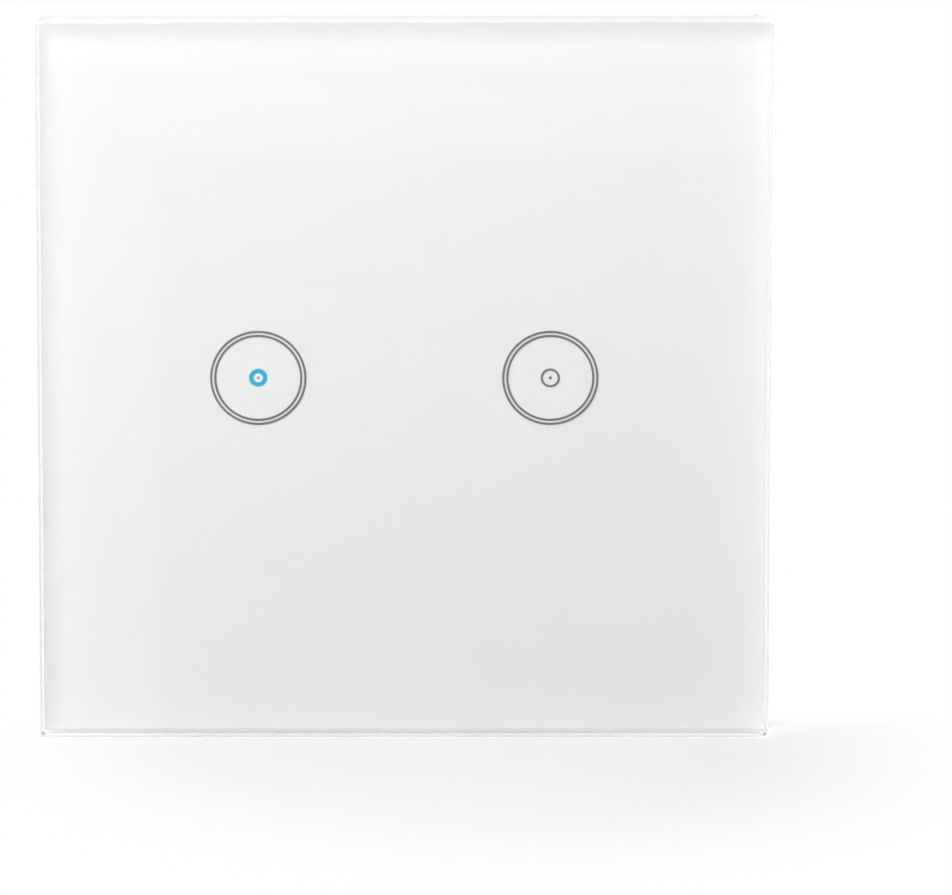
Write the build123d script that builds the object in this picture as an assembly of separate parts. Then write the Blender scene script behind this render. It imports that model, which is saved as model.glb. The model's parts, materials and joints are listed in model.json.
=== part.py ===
from build123d import *
import math
import os

# A two-gang touch light switch for a round wall box. Lengths are in millimetres.
# X runs right and Z up as the glass is seen from the front, and Y runs from the viewer into the wall.
# The wall's face is Y = 0, and the origin is midway between the two wall screws.

# Gaps that several pieces share
hairline = 0.05
slide_gap = 0.2
loose_gap = 0.4
cut_overrun = 1.0

# Glass
front_stand_off = 10.5
panel_width = 86.0
panel_height = 86.0
glass_thickness = 4.0
glass_corner_radius = 0.6
glass_front_chamfer = 0.5
glass_back_chamfer = 0.25

# Print behind the glass
print_thickness = 0.2
print_margin = 0.4
window_gap = 0.01
icon_pitch = 34.3
light_window_radius = 1.1

# Adhesive frame
tape_thickness = 0.25
tape_inset = 1.2

# Moulded frame behind the glass
frame_set_back = 0.8
frame_corner_radius = 1.6
frame_face_thickness = 1.3
frame_wall = 1.6
frame_wall_clearance = 0.4
frame_opening_width = 46.4
frame_opening_height = 56.0
frame_opening_corner = 2.0
frame_rib_height = 1.2
frame_rib_width = 1.0
frame_rib_pitch = 9.0
tongue_width = 8.0
tongue_thickness = 1.2
tongue_pitch = 26.0
tongue_root = 0.8
bead_height = 0.9
pry_notch_width = 12.0
pry_notch_depth = 1.6

# Steel support plate
plate_side_room = 7.5
plate_thickness = 1.2
plate_corner_radius = 4.0
plate_lip_height = 2.0
plate_lip_shorter = 12.0
plate_bend_radius = 1.0
wall_screw_spacing = 60.0
wall_slot_length = 7.5
wall_slot_width = 4.0

# Front tray
tray_width = 50.0
tray_height = 66.0
tray_corner_radius = 3.0
tray_wall = 1.5
tray_floor = 1.2
tray_front_gap = 0.3
recess_reach = 21.8
recess_wall = 1.2
recess_floor = 1.2
recess_back_depth = 2.8
groove_depth = 0.6
post_radius = 2.2
post_bore_radius = 1.05
post_length = 6.8
pad_width = 2.0
hook_width = 5.0
hook_height = 1.0
hook_reach = 0.7
hook_spread = 44.0

# Touch board and what it carries
touch_board_thickness = 1.0
touch_board_corner = 1.0
spring_wire_radius = 0.2
spring_wire_sides = 6
spring_turns = 2.5
spring_wide_radius = 4.6
spring_narrow_radius = 3.1
least_spring_gap = 0.4
shroud_width = 3.6
shroud_bore = 2.4
led_length = 1.6
led_width = 0.9
led_height = 0.7
touch_chip_length = 5.2
touch_chip_width = 3.9
touch_chip_height = 1.5
lead_length = 1.0
lead_width = 0.42
lead_thickness = 0.2
lead_pitch = 1.27
touch_chip_lead_count = 4
chip_capacitor_length = 1.6
chip_capacitor_width = 0.8
chip_capacitor_height = 0.8

# Plug connection between the boards
pin_pitch = 2.0
pin_columns = 4
pin_rows = 2
pin_width = 0.5
header_height = 2.0
connector_margin = 1.0
pin_reach = 2.4
connector_drop_share = 0.45

# Radio module
radio_width = 16.0
radio_length = 20.0
radio_thickness = 0.8
radio_solder_gap = 0.1
radio_rise_share = 0.4
shield_width = 12.6
shield_length = 13.6
shield_height = 1.9
shield_sheet = 0.3
shield_edge = 0.8

# Rear housing
housing_corner_radius = 16.0
housing_wall = 1.6
housing_back_edge = 1.0
module_screw_spread = 36.0
boss_radius = 3.6
boss_bore_radius = 2.6
boss_web = 1.6
stop_rib_thickness = 1.2
stop_rib_reach = 2.0
stop_rib_length = 7.0
stop_rib_spread = 9.0
vent_count = 7
vent_width = 1.3
vent_length = 11.0
vent_pitch = 3.2
bay_wall = 1.4

# Screws that hold the housing to the tray
module_screw_radius = 1.0
module_screw_length = 8.6
module_screw_head_radius = 2.2
module_screw_head_height = 1.5
cross_slot_width = 0.6
cross_slot_length = 2.4
cross_slot_depth = 0.9

# Power board
power_board_thickness = 1.6
power_board_stand = 0.8
power_board_corner_radius = 14.0
part_gap = 0.8

# Relays
relay_width = 18.4
relay_depth = 10.2
relay_height = 15.3
relay_case_wall = 0.6
relay_case_edge = 0.3
relay_base_thickness = 1.5
relay_foot = 0.2
relay_spread = 3.6
relay_side_room = 3.7
relay_back_room = 2.7
yoke_thickness = 1.0
yoke_width = 6.0
yoke_edge_gap = 0.7
coil_width = 6.4
coil_corner = 1.2
coil_flange = 0.6
coil_flange_width = 7.4
coil_height = 8.8
core_head_width = 3.6
core_head_height = 0.5
armature_thickness = 0.9
armature_air_gap = 0.45
armature_seat_gap = 0.1
armature_overhang = 0.6
contact_spring_thickness = 0.25
contact_spring_width = 3.0
contact_width = 1.7
contact_height = 0.6
contact_travel = 0.85
contact_blade_thickness = 0.6
contact_blade_width = 4.0
contact_tab_length = 2.4

# Transformer
core_width = 12.8
core_height = 11.0
core_depth = 4.8
core_leg = 2.0
core_centre_leg = 3.2
winding_width = 8.0
winding_depth = 9.4
winding_round = 1.5
bobbin_flange = 0.6
bobbin_foot = 1.0

# Other parts of the power supply
large_can_radius = 4.0
large_can_height = 13.0
small_can_radius = 3.15
small_can_height = 11.0
film_width = 13.0
film_depth = 5.2
film_height = 11.0
film_edge = 0.5
varistor_radius = 4.5
varistor_thickness = 3.4
varistor_stand = 1.2
leg_thickness = 0.6
fuse_radius = 1.7
fuse_length = 8.0
fuse_stand = 2.6
fuse_leg_reach = 1.4
power_chip_length = 4.9
power_chip_width = 3.9
power_chip_height = 1.5
power_chip_lead_count = 4

# Terminals with rising clamp cages
pole_count = 4
pole_pitch = 7.0
block_depth = 10.0
block_end_wall = 0.4
block_edge_gap = 1.4
block_floor = 1.0
block_edge = 0.4
mouth_radius = 1.9
mouth_length = 1.3
funnel_depth = 0.5
funnel_flare = 0.45
cage_width = 5.4
cage_depth = 5.8
cage_side = 0.7
cage_bottom = 0.9
cage_window = 4.9
cage_top = 1.8
cage_edge = 0.4
cage_travel = 2.2
wire_space = 3.8
blade_thickness = 0.8
blade_width = 3.4
blade_tooth = 0.15
blade_grooves = 3
blade_pin_width = 1.2
blade_pin_reach = 0.6
blade_end_wall = 0.5
terminal_screw_radius = 1.25
terminal_head_radius = 2.3
terminal_head_height = 1.7
terminal_well_width = 5.0
terminal_partition = 0.8
terminal_lip = 0.8
driver_hole_radius = 2.0
driver_slot_width = 0.8
driver_slot_depth = 0.9
bay_gap = 0.2

# Places along the depth, from the glass to the back
glass_front = -front_stand_off
glass_back = glass_front + glass_thickness
print_back = glass_back + print_thickness
tape_back = print_back + tape_thickness
frame_face_back = tape_back + frame_face_thickness
frame_back = -frame_wall_clearance
plate_front = -plate_thickness
tray_front = frame_face_back + tray_front_gap
touch_board_back = plate_front - tray_floor
touch_board_front = touch_board_back - touch_board_thickness
recess_floor_front = recess_back_depth - recess_floor
power_board_front = recess_back_depth + power_board_stand
power_board_back = power_board_front + power_board_thickness
housing_inside_back = power_board_back + relay_foot + relay_height + relay_back_room
housing_depth = housing_inside_back + housing_wall

# Sizes across that follow from the ones above
plate_width = panel_width - plate_side_room * 2
plate_height = panel_height - plate_side_room * 2
frame_half_width = panel_width / 2 - frame_set_back
frame_half_height = panel_height / 2 - frame_set_back
housing_inside_half = relay_spread / 2 + relay_width + relay_side_room
housing_half = housing_inside_half + housing_wall
housing_width = housing_half * 2
board_half_width = tray_width / 2 - tray_wall - slide_gap
board_half_height = tray_height / 2 - tray_wall - slide_gap
screw_half = module_screw_spread / 2
icon_half = icon_pitch / 2

# The terminal block and its bay
cavity_width = cage_width + slide_gap
cavity_front = power_board_back + block_floor
cage_rest = cavity_front + hairline
cage_height = cage_bottom + cage_window + cage_top
cavity_back = cage_rest + cage_height + cage_travel + hairline
well_front = cavity_back + terminal_partition
head_front = well_front + hairline
well_back = head_front + terminal_head_height + slide_gap
block_back = well_back + terminal_lip
wire_space_front = cage_rest + cage_bottom
blade_front = wire_space_front + wire_space
blade_back = blade_front + blade_thickness
mouth_depth = wire_space_front + wire_space / 2
block_half_width = pole_count * pole_pitch / 2 + block_end_wall
block_bottom = block_edge_gap - housing_inside_half
block_top = block_bottom + block_depth
cavity_bottom = block_bottom + funnel_depth + mouth_length
cage_low = cavity_bottom + slide_gap
cage_high = cage_low + cage_depth
cavity_top = cage_high + slide_gap
blade_leg_bottom = cavity_top + blade_end_wall
blade_leg_top = blade_leg_bottom + blade_thickness
bay_half_width = block_half_width + bay_gap
bay_top = block_top + bay_gap
pole_places = [(index - (pole_count - 1) / 2) * pole_pitch for index in range(pole_count)]

# The rows of parts on the power board
relay_row_bottom = bay_top + bay_wall + part_gap
relay_middle = relay_row_bottom + relay_depth / 2
supply_row_bottom = relay_row_bottom + relay_depth + part_gap
second_row_bottom = supply_row_bottom + winding_depth + part_gap


# A plane that faces the viewer at one depth, with its own X and Y along the part's X and Z
def facing(depth):
    return Plane(origin=(0, depth, 0), x_dir=(1, 0, 0), z_dir=(0, -1, 0))


# A flat outline, drawn as seen from the front, run back from one depth to another
def run_back(outline, front, back):
    return extrude(facing(front) * outline, amount=back - front, dir=(0, 1, 0))


# A box between low and high values along each axis
def span_box(x_span, y_span, z_span):
    spans = (x_span, y_span, z_span)
    middle = [(low + high) / 2 for low, high in spans]
    size = [high - low for low, high in spans]
    return Pos(*middle) * Box(*size)


def rod(x, z, radius, front, back):
    return run_back(Pos(x, z) * Circle(radius), front, back)


# An eight-sided outline with flats at one distance from the middle, level and upright ones included
def octagon(reach):
    sides = 8
    return RegularPolygon(reach, sides, major_radius=False, rotation=360 / sides / 2)


# The four sign pairs of a rectangle's corners
def corner_signs():
    return [(across, up) for across in (-1, 1) for up in (-1, 1)]


# The centres of the two screws on a diagonal that hold the housing to the tray
def module_screw_places():
    return [(-screw_half, screw_half), (screw_half, -screw_half)]


def glass_panel():
    outline = RectangleRounded(panel_width, panel_height, glass_corner_radius)
    glass = run_back(outline, glass_front, glass_back)
    glass = chamfer(glass.faces().sort_by(Axis.Y)[0].edges(), glass_front_chamfer)
    return chamfer(glass.faces().sort_by(Axis.Y)[-1].edges(), glass_back_chamfer)


def back_print():
    outline = Rectangle(panel_width - print_margin * 2, panel_height - print_margin * 2)
    for side in (-1, 1):
        outline -= Pos(side * icon_half, 0) * Circle(light_window_radius + window_gap)
    return run_back(outline, glass_back, print_back)


def light_window(side):
    return rod(side * icon_half, 0, light_window_radius, glass_back, print_back)


def panel_tape():
    outside = Rectangle((frame_half_width - tape_inset) * 2, (frame_half_height - tape_inset) * 2)
    inside = Rectangle(frame_opening_width + tape_inset * 2, frame_opening_height + tape_inset * 2)
    return run_back(outside - inside, print_back, tape_back)


# A snap tongue above the tray, with its bead in the tray's groove and a thickened root
def snap_tongue(x, up):
    inner = tray_height / 2 + slide_gap
    outer = inner + tongue_thickness
    tip = plate_front - loose_gap
    bead_back = tip - bead_height / 2
    bead_front = bead_back - bead_height
    bead_crest = inner - slide_gap + hairline
    outline = Polyline(
        (frame_face_back, outer),
        (tip, outer),
        (tip, inner),
        (bead_back, inner),
        (bead_back - bead_height / 3, bead_crest),
        (bead_front + bead_height / 3, bead_crest),
        (bead_front, inner),
        (frame_face_back, inner),
        close=True,
    )
    side_plane = Plane(origin=(x - tongue_width / 2, 0, 0), x_dir=(0, 1, 0), z_dir=(1, 0, 0))
    tongue = extrude(side_plane * make_face(outline), amount=tongue_width, dir=(1, 0, 0))
    root = Polyline(
        (frame_face_back, outer),
        (frame_face_back, outer + tongue_root),
        (frame_face_back + tongue_root, outer),
        close=True,
    )
    tongue += extrude(side_plane * make_face(root), amount=tongue_width, dir=(1, 0, 0))
    return tongue if up > 0 else mirror(tongue, Plane.XY)


# Low ribs behind the frame's face, from the outer wall to the opening
def frame_ribs():
    ribs = []
    back = frame_face_back + frame_rib_height
    inner_half_width = frame_half_width - frame_wall
    inner_half_height = frame_half_height - frame_wall
    ribs_up = int(frame_opening_height / 2 / frame_rib_pitch)
    for index in range(-ribs_up, ribs_up + 1):
        z = index * frame_rib_pitch
        z_span = (z - frame_rib_width / 2, z + frame_rib_width / 2)
        for side in (-1, 1):
            near = side * (tray_width / 2 + loose_gap)
            far = side * inner_half_width
            x_span = (min(near, far), max(near, far))
            ribs.append(span_box(x_span, (frame_face_back, back), z_span))
    for across, up in corner_signs():
        x = across * frame_rib_pitch * 3
        x_span = (x - frame_rib_width / 2, x + frame_rib_width / 2)
        near = up * (frame_opening_height / 2 + frame_rib_width)
        far = up * inner_half_height
        z_span = (min(near, far), max(near, far))
        ribs.append(span_box(x_span, (frame_face_back, back), z_span))
    return ribs


def panel_frame():
    outside = RectangleRounded(frame_half_width * 2, frame_half_height * 2, frame_corner_radius)
    inside = Rectangle((frame_half_width - frame_wall) * 2, (frame_half_height - frame_wall) * 2)
    opening = Rectangle(frame_opening_width, frame_opening_height)
    opening = chamfer(opening.vertices(), frame_opening_corner)
    frame = run_back(outside - opening, tape_back, frame_face_back)
    frame += run_back(outside - inside, tape_back, frame_back)
    for rib in frame_ribs():
        frame += rib
    for up in (-1, 1):
        for side in (-1, 1):
            frame += snap_tongue(side * tongue_pitch / 2, up)
    notch_low = -frame_half_height - cut_overrun
    notch_high = -frame_half_height + frame_wall + cut_overrun
    notch_front = frame_back - pry_notch_depth
    frame -= span_box(
        (-pry_notch_width / 2, pry_notch_width / 2),
        (notch_front, frame_back + cut_overrun),
        (notch_low, notch_high),
    )
    return frame


def support_plate():
    outline = RectangleRounded(plate_width, plate_height, plate_corner_radius)
    outline -= octagon(recess_reach + slide_gap)
    for side in (-1, 1):
        slot = SlotOverall(wall_slot_length, wall_slot_width)
        outline -= Pos(side * wall_screw_spacing / 2, 0) * slot
    for x, z in module_screw_places():
        outline -= Pos(x, z) * Circle(post_radius + slide_gap)
    plate = run_back(outline, plate_front, 0)
    for side in (-1, 1):
        plate += plate_lip(side)
    return plate


# A folded lip along one side of the plate, pointing to the front
def plate_lip(side):
    edge = plate_width / 2
    half_length = plate_height / 2 - plate_lip_shorter
    lip = span_box(
        (edge - plate_thickness, edge),
        (plate_front - plate_lip_height, 0),
        (-half_length, half_length),
    )
    bend = [item for item in lip.edges().filter_by(Axis.Z) if item.center().X > edge - plate_thickness / 2]
    lip = fillet([item for item in bend if item.center().Y > plate_front / 2], plate_bend_radius)
    return lip if side > 0 else mirror(lip, Plane.YZ)


# The tray's flange, walls and eight-sided recess, before its posts, hooks and cuts
def tray_shell():
    outline = RectangleRounded(tray_width, tray_height, tray_corner_radius)
    inside = offset(outline, -tray_wall)
    shell = run_back(outline, tray_front, plate_front) - run_back(inside, tray_front, touch_board_back)
    shell += run_back(octagon(recess_reach), touch_board_back, recess_back_depth)
    return shell - run_back(octagon(recess_reach - recess_wall), touch_board_back, recess_floor_front)


# Grooves along the tray's upper and lower sides, where the tongues' beads lie
def tray_grooves():
    tip = plate_front - loose_gap
    groove_back = tip - bead_height / 2 + slide_gap
    groove_front = groove_back - bead_height - slide_gap * 2
    half_length = tongue_pitch / 2 + tongue_width / 2 + slide_gap
    grooves = []
    for up in (-1, 1):
        near = up * (tray_height / 2 - groove_depth)
        far = up * (tray_height / 2 + cut_overrun)
        z_span = (min(near, far), max(near, far))
        grooves.append(span_box((-half_length, half_length), (groove_front, groove_back), z_span))
    return grooves


# A snap hook on the tray's upper or lower wall, whose ramp lets the touch board click in behind it
def board_hook(x, up):
    wall = tray_height / 2 - tray_wall
    catch = touch_board_front - hairline
    outline = Polyline(
        (catch, wall + tray_wall / 2),
        (catch, wall - hook_reach),
        (catch - hook_height, wall),
        (catch - hook_height, wall + tray_wall / 2),
        close=True,
    )
    side_plane = Plane(origin=(x - hook_width / 2, 0, 0), x_dir=(0, 1, 0), z_dir=(1, 0, 0))
    hook = extrude(side_plane * make_face(outline), amount=hook_width, dir=(1, 0, 0))
    return hook if up > 0 else mirror(hook, Plane.XY)


def connector_middle():
    return -recess_reach * connector_drop_share


def connector_half_sizes():
    half_width = pin_columns * pin_pitch / 2 + connector_margin / 2
    half_height = pin_rows * pin_pitch / 2 + connector_margin / 2
    return half_width, half_height


def touch_tray():
    tray = tray_shell()
    for x, z in module_screw_places():
        tray += rod(x, z, post_radius, plate_front, post_length)
        tray -= rod(x, z, post_bore_radius, 0, post_length + cut_overrun)
    for across, up in corner_signs():
        tray += board_hook(across * (hook_spread / 2 - hook_width), up)
        pad_place = Pos(across * recess_reach / 2, up * recess_reach / 2)
        tray += run_back(pad_place * Rectangle(pad_width, pad_width), recess_back_depth, power_board_front)
    for groove in tray_grooves():
        tray -= groove
    half_width, half_height = connector_half_sizes()
    slot = Rectangle((half_width + slide_gap) * 2, (half_height + slide_gap) * 2)
    tray -= run_back(Pos(0, connector_middle()) * slot, recess_floor_front, recess_back_depth)
    return tray


def touch_board():
    outline = Rectangle(board_half_width * 2, board_half_height * 2)
    outline = chamfer(outline.vertices(), touch_board_corner)
    return run_back(outline, touch_board_front, touch_board_back)


# A small moulded chip that stands towards -Y or +Y from its board, with bent leads on two sides
def leaded_chip(x, z, length, width, height, leads, board_face, away):
    seat = board_face + away * lead_thickness / 2
    top = board_face + away * height
    body = span_box(
        (x - length / 2, x + length / 2),
        (min(seat, top), max(seat, top)),
        (z - width / 2, z + width / 2),
    )
    top_face = body.faces().sort_by(Axis.Y)[0 if away < 0 else -1]
    body = chamfer(top_face.edges(), lead_thickness)
    shoulder = board_face + away * height / 2
    for index in range(leads):
        lead_x = x + (index - (leads - 1) / 2) * lead_pitch
        x_span = (lead_x - lead_width / 2, lead_x + lead_width / 2)
        for up in (-1, 1):
            near = z + up * width / 2
            bend = near + up * lead_length / 2
            tip = near + up * lead_length
            body += span_box(
                x_span,
                (min(board_face, shoulder), max(board_face, shoulder)),
                (min(bend, bend - up * lead_thickness), max(bend, bend - up * lead_thickness)),
            )
            flat = shoulder - away * lead_thickness
            body += span_box(
                x_span,
                (min(flat, shoulder), max(flat, shoulder)),
                (min(near, bend), max(near, bend)),
            )
            foot = board_face + away * lead_thickness
            body += span_box(
                x_span,
                (min(board_face, foot), max(board_face, foot)),
                (min(bend, tip), max(bend, tip)),
            )
    return body


def touch_chips():
    chip_x_share = 0.1
    chip_z_share = 0.62
    x = board_half_width * chip_x_share
    z = board_half_height * chip_z_share
    chips = [
        leaded_chip(
            x, z, touch_chip_length, touch_chip_width, touch_chip_height,
            touch_chip_lead_count, touch_board_front, -1,
        )
    ]
    capacitor_z_shares = (0.42, -0.42, -0.6)
    capacitor_x_shares = (-0.5, -0.2, 0.2, 0.5)
    for z_share in capacitor_z_shares:
        for x_share in capacitor_x_shares:
            place = Pos(board_half_width * x_share, 0, board_half_height * z_share)
            middle = Pos(0, touch_board_front - chip_capacitor_height / 2, 0)
            size = (chip_capacitor_length, chip_capacitor_height, chip_capacitor_width)
            chips.append(place * middle * Box(*size))
    return Compound(children=chips)


# Two arcs that meet smoothly and join two points of a curve with given directions there
def smooth_arcs(start, start_direction, end, end_direction):
    gap = end - start
    turn = start_direction + end_direction
    across = gap.dot(turn)
    square = gap.dot(gap)
    share = 2 - 2 * start_direction.dot(end_direction)
    reach = (-across + math.sqrt(across * across + share * square)) / share
    middle = (start + start_direction * reach + end - end_direction * reach) / 2
    first = Edge.make_tangent_arc(start, start_direction, middle)
    second_direction = end - end_direction * reach - (start + start_direction * reach)
    return [first, Edge.make_tangent_arc(middle, second_direction, end)]


# A point of the conical spring's wire and the direction of the wire there, at a share of its length
def spring_point(side, share):
    narrow_end = touch_board_front - spring_wire_radius
    wide_end = print_back + hairline + spring_wire_radius
    angle = math.tau * spring_turns * share
    radius = spring_narrow_radius + (spring_wide_radius - spring_narrow_radius) * share
    depth = narrow_end + (wide_end - narrow_end) * share
    point = Vector(side * icon_half + radius * math.cos(angle), depth, radius * math.sin(angle))
    growth = (spring_wide_radius - spring_narrow_radius) / (math.tau * spring_turns)
    climb = (wide_end - narrow_end) / (math.tau * spring_turns)
    direction = Vector(
        growth * math.cos(angle) - radius * math.sin(angle),
        climb,
        growth * math.sin(angle) + radius * math.cos(angle),
    )
    return point, direction.normalized()


# One unbroken wire wound as a cone, wide at the glass and narrow at the board
def touch_spring(side):
    half_turns = round(spring_turns * 2)
    edges = []
    for index in range(half_turns):
        start, start_direction = spring_point(side, index / half_turns)
        end, end_direction = spring_point(side, (index + 1) / half_turns)
        edges += smooth_arcs(start, start_direction, end, end_direction)
    path = Wire(edges)
    start, start_direction = spring_point(side, 0)
    outline = RegularPolygon(spring_wire_radius, spring_wire_sides)
    section = Plane(origin=start, z_dir=start_direction) * outline
    return sweep(section, path=path)


# The least gap between turns of the spring, measured on points one turn apart or more
def print_spring_gap():
    steps_per_turn = 36
    steps = round(spring_turns * steps_per_turn)
    points = [spring_point(1, index / steps)[0] for index in range(steps + 1)]
    least = min(
        (points[a] - points[b]).length
        for a in range(len(points))
        for b in range(a + steps_per_turn // 2, len(points))
    )
    gap = least - spring_wire_radius * 2
    print(f"least gap in a touch spring {gap:.3f}, wanted over {least_spring_gap}")


def light_shroud(side):
    tube = Rectangle(shroud_width, shroud_width) - Rectangle(shroud_bore, shroud_bore)
    return run_back(Pos(side * icon_half, 0) * tube, print_back + slide_gap, touch_board_front)


def status_leds():
    leds = []
    for side in (-1, 1):
        x = side * icon_half
        front = touch_board_front - led_height
        led = span_box(
            (x - led_length / 2, x + led_length / 2),
            (front, touch_board_front),
            (-led_width / 2, led_width / 2),
        )
        leds.append(chamfer(led.faces().sort_by(Axis.Y)[0].edges(), led_width / 6))
    return Compound(children=leds)


def pin_places():
    places = []
    for column in range(pin_columns):
        for row in range(pin_rows):
            x = (column - (pin_columns - 1) / 2) * pin_pitch
            z = connector_middle() + (row - (pin_rows - 1) / 2) * pin_pitch
            places.append((x, z))
    return places


# Pins on the back of the touch board
def board_header():
    half_width, half_height = connector_half_sizes()
    base_back = touch_board_back + header_height
    base = run_back(
        Pos(0, connector_middle()) * Rectangle(half_width * 2, half_height * 2),
        touch_board_back,
        base_back,
    )
    for x, z in pin_places():
        pin = Pos(x, z) * Rectangle(pin_width, pin_width)
        base += run_back(pin, base_back, base_back + pin_reach)
    return base


# The socket on the power board, which comes through the tray's recess floor
def board_socket():
    half_width, half_height = connector_half_sizes()
    front = touch_board_back + header_height + hairline
    socket = run_back(
        Pos(0, connector_middle()) * Rectangle(half_width * 2, half_height * 2),
        front,
        power_board_front,
    )
    for x, z in pin_places():
        hole = Pos(x, z) * Rectangle(pin_width + hairline * 2, pin_width + hairline * 2)
        socket -= run_back(hole, front, front + pin_reach)
    return socket


def radio_middle():
    return recess_reach * radio_rise_share


def wifi_board():
    front = touch_board_back + radio_solder_gap
    outline = Pos(0, radio_middle()) * Rectangle(radio_width, radio_length)
    return run_back(outline, front, front + radio_thickness)


# A thin pressed can over the radio chip, open towards its board
def wifi_shield():
    front = touch_board_back + radio_solder_gap + radio_thickness
    low = radio_middle() - radio_length / 2 + shield_edge
    place = Pos(0, low + shield_length / 2)
    can = run_back(place * Rectangle(shield_width, shield_length), front, front + shield_height)
    can = chamfer(can.edges().filter_by(Axis.Y), shield_sheet)
    inside = Rectangle(shield_width - shield_sheet * 4, shield_length - shield_sheet * 4)
    return can - run_back(place * inside, front, front + shield_height - shield_sheet)


# The housing's outline, drawn in from its outside by a distance
def housing_outline(inset):
    width = housing_width - inset * 2
    return RectangleRounded(width, width, housing_corner_radius - inset)


# The open bay for the terminal block, grown by a wall on its closed sides
def terminal_bay(wall):
    return span_box(
        (-bay_half_width - wall, bay_half_width + wall),
        (power_board_back + slide_gap, housing_depth + cut_overrun),
        (-housing_half - cut_overrun, bay_top + wall),
    )


# Ribs inside the side and top walls that stop the power board
def stop_ribs():
    front = power_board_back
    back = front + stop_rib_length
    ribs = []
    for end in (-1, 1):
        along = end * stop_rib_spread / 2
        along_span = (along - stop_rib_thickness / 2, along + stop_rib_thickness / 2)
        for side in (-1, 1):
            near = side * (housing_inside_half - stop_rib_reach)
            far = side * (housing_inside_half + housing_wall / 2)
            x_span = (min(near, far), max(near, far))
            ribs.append(span_box(x_span, (front, back), along_span))
        up_span = (housing_inside_half - stop_rib_reach, housing_inside_half + housing_wall / 2)
        ribs.append(span_box(along_span, (front, back), up_span))
    return ribs


def vent_slots():
    slots = []
    middle = (relay_row_bottom + housing_inside_half) / 2
    for index in range(vent_count):
        x = (index - (vent_count - 1) / 2) * vent_pitch
        slot = Rectangle(vent_width, vent_length)
        slots.append(run_back(Pos(x, middle) * slot, housing_inside_back, housing_depth))
    return slots


def rear_housing():
    housing = run_back(housing_outline(0), 0, housing_depth)
    housing = chamfer(housing.faces().sort_by(Axis.Y)[-1].edges(), housing_back_edge)
    inside = run_back(housing_outline(housing_wall), 0, housing_inside_back)
    housing -= inside - terminal_bay(bay_wall)
    for rib in stop_ribs():
        housing += rib
    web_front = post_length
    head_seat = web_front + boss_web
    outer = run_back(housing_outline(0), 0, housing_depth)
    for x, z in module_screw_places():
        boss = rod(x, z, boss_radius, web_front, housing_inside_back)
        housing += boss & outer
        housing -= rod(x, z, boss_bore_radius, head_seat, housing_depth + cut_overrun)
        housing -= rod(x, z, module_screw_radius + slide_gap, web_front - cut_overrun, head_seat)
        housing -= rod(x, z, post_radius + slide_gap, 0, web_front)
    for slot in vent_slots():
        housing -= slot
    return housing - terminal_bay(0)


# Two equal pan-head screws with crossed slots, driven from the back
def housing_screws():
    screws = []
    seat = post_length + boss_web
    head_back = seat + module_screw_head_height
    for x, z in module_screw_places():
        head = rod(x, z, module_screw_head_radius, seat, head_back)
        for turned in (0, 90):
            slot = Rot(0, 0, turned) * Rectangle(cross_slot_length, cross_slot_width)
            head -= run_back(Pos(x, z) * slot, head_back - cross_slot_depth, head_back)
        screws.append(head + rod(x, z, module_screw_radius, head_back - module_screw_length, seat))
    return Compound(children=screws)


def power_board():
    half = housing_inside_half - loose_gap
    outline = RectangleRounded(half * 2, half * 2, power_board_corner_radius)
    for x, z in module_screw_places():
        outline -= Pos(x, z) * Circle(post_radius + loose_gap)
    for x in pole_places:
        z = (blade_leg_bottom + blade_leg_top) / 2
        slot = Rectangle(blade_pin_width + slide_gap, blade_thickness + slide_gap)
        outline -= Pos(x, z) * slot
    return run_back(outline, power_board_front, power_board_back)


# Places inside one relay, measured from its left side and from the power board
def relay_left(side):
    return side * (relay_width + relay_spread) / 2 - relay_width / 2


def relay_seat():
    return power_board_back + relay_foot


def yoke_back():
    return relay_seat() + relay_base_thickness + yoke_thickness + coil_height + armature_air_gap


def yoke_left(side):
    return relay_left(side) + relay_case_wall + yoke_edge_gap


def coil_middle(side):
    return yoke_left(side) + yoke_thickness + slide_gap + coil_flange_width / 2


def relay_case(side):
    middle = relay_left(side) + relay_width / 2
    place = Pos(middle, relay_middle)
    back = relay_seat() + relay_height
    case = run_back(place * Rectangle(relay_width, relay_depth), relay_seat(), back)
    case = chamfer(case.edges().filter_by(Axis.Y), relay_case_edge)
    case = chamfer(case.faces().sort_by(Axis.Y)[-1].edges(), relay_case_edge)
    inside = Rectangle(relay_width - relay_case_wall * 2, relay_depth - relay_case_wall * 2)
    return case - run_back(place * inside, relay_seat(), back - relay_case_wall)


def relay_base(side):
    middle = relay_left(side) + relay_width / 2
    width = relay_width - relay_case_wall * 2 - hairline * 2
    depth = relay_depth - relay_case_wall * 2 - hairline * 2
    place = Pos(middle, relay_middle)
    base = run_back(place * Rectangle(width, depth), relay_seat(), relay_seat() + relay_base_thickness)
    slot = Rectangle(contact_blade_thickness + hairline * 2, contact_blade_width + hairline * 2)
    slot_place = Pos(contact_blade_left(side) + contact_blade_thickness / 2, relay_middle)
    return base - run_back(slot_place * slot, relay_seat(), relay_seat() + relay_base_thickness)


# An L of soft iron beside and under the coil
def relay_yoke(side):
    foot_front = relay_seat() + relay_base_thickness
    left = yoke_left(side)
    z_span = (relay_middle - yoke_width / 2, relay_middle + yoke_width / 2)
    leg = span_box((left, left + yoke_thickness), (foot_front, yoke_back()), z_span)
    foot_right = coil_middle(side) + coil_width / 2
    foot = span_box((left, foot_right), (foot_front, foot_front + yoke_thickness), z_span)
    outer_bend = (leg + foot).edges().filter_by(Axis.Z).sort_by(Axis.X)[:2]
    outer_bend = ShapeList(outer_bend).sort_by(Axis.Y)[0]
    return fillet(outer_bend, yoke_thickness / 2)


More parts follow.
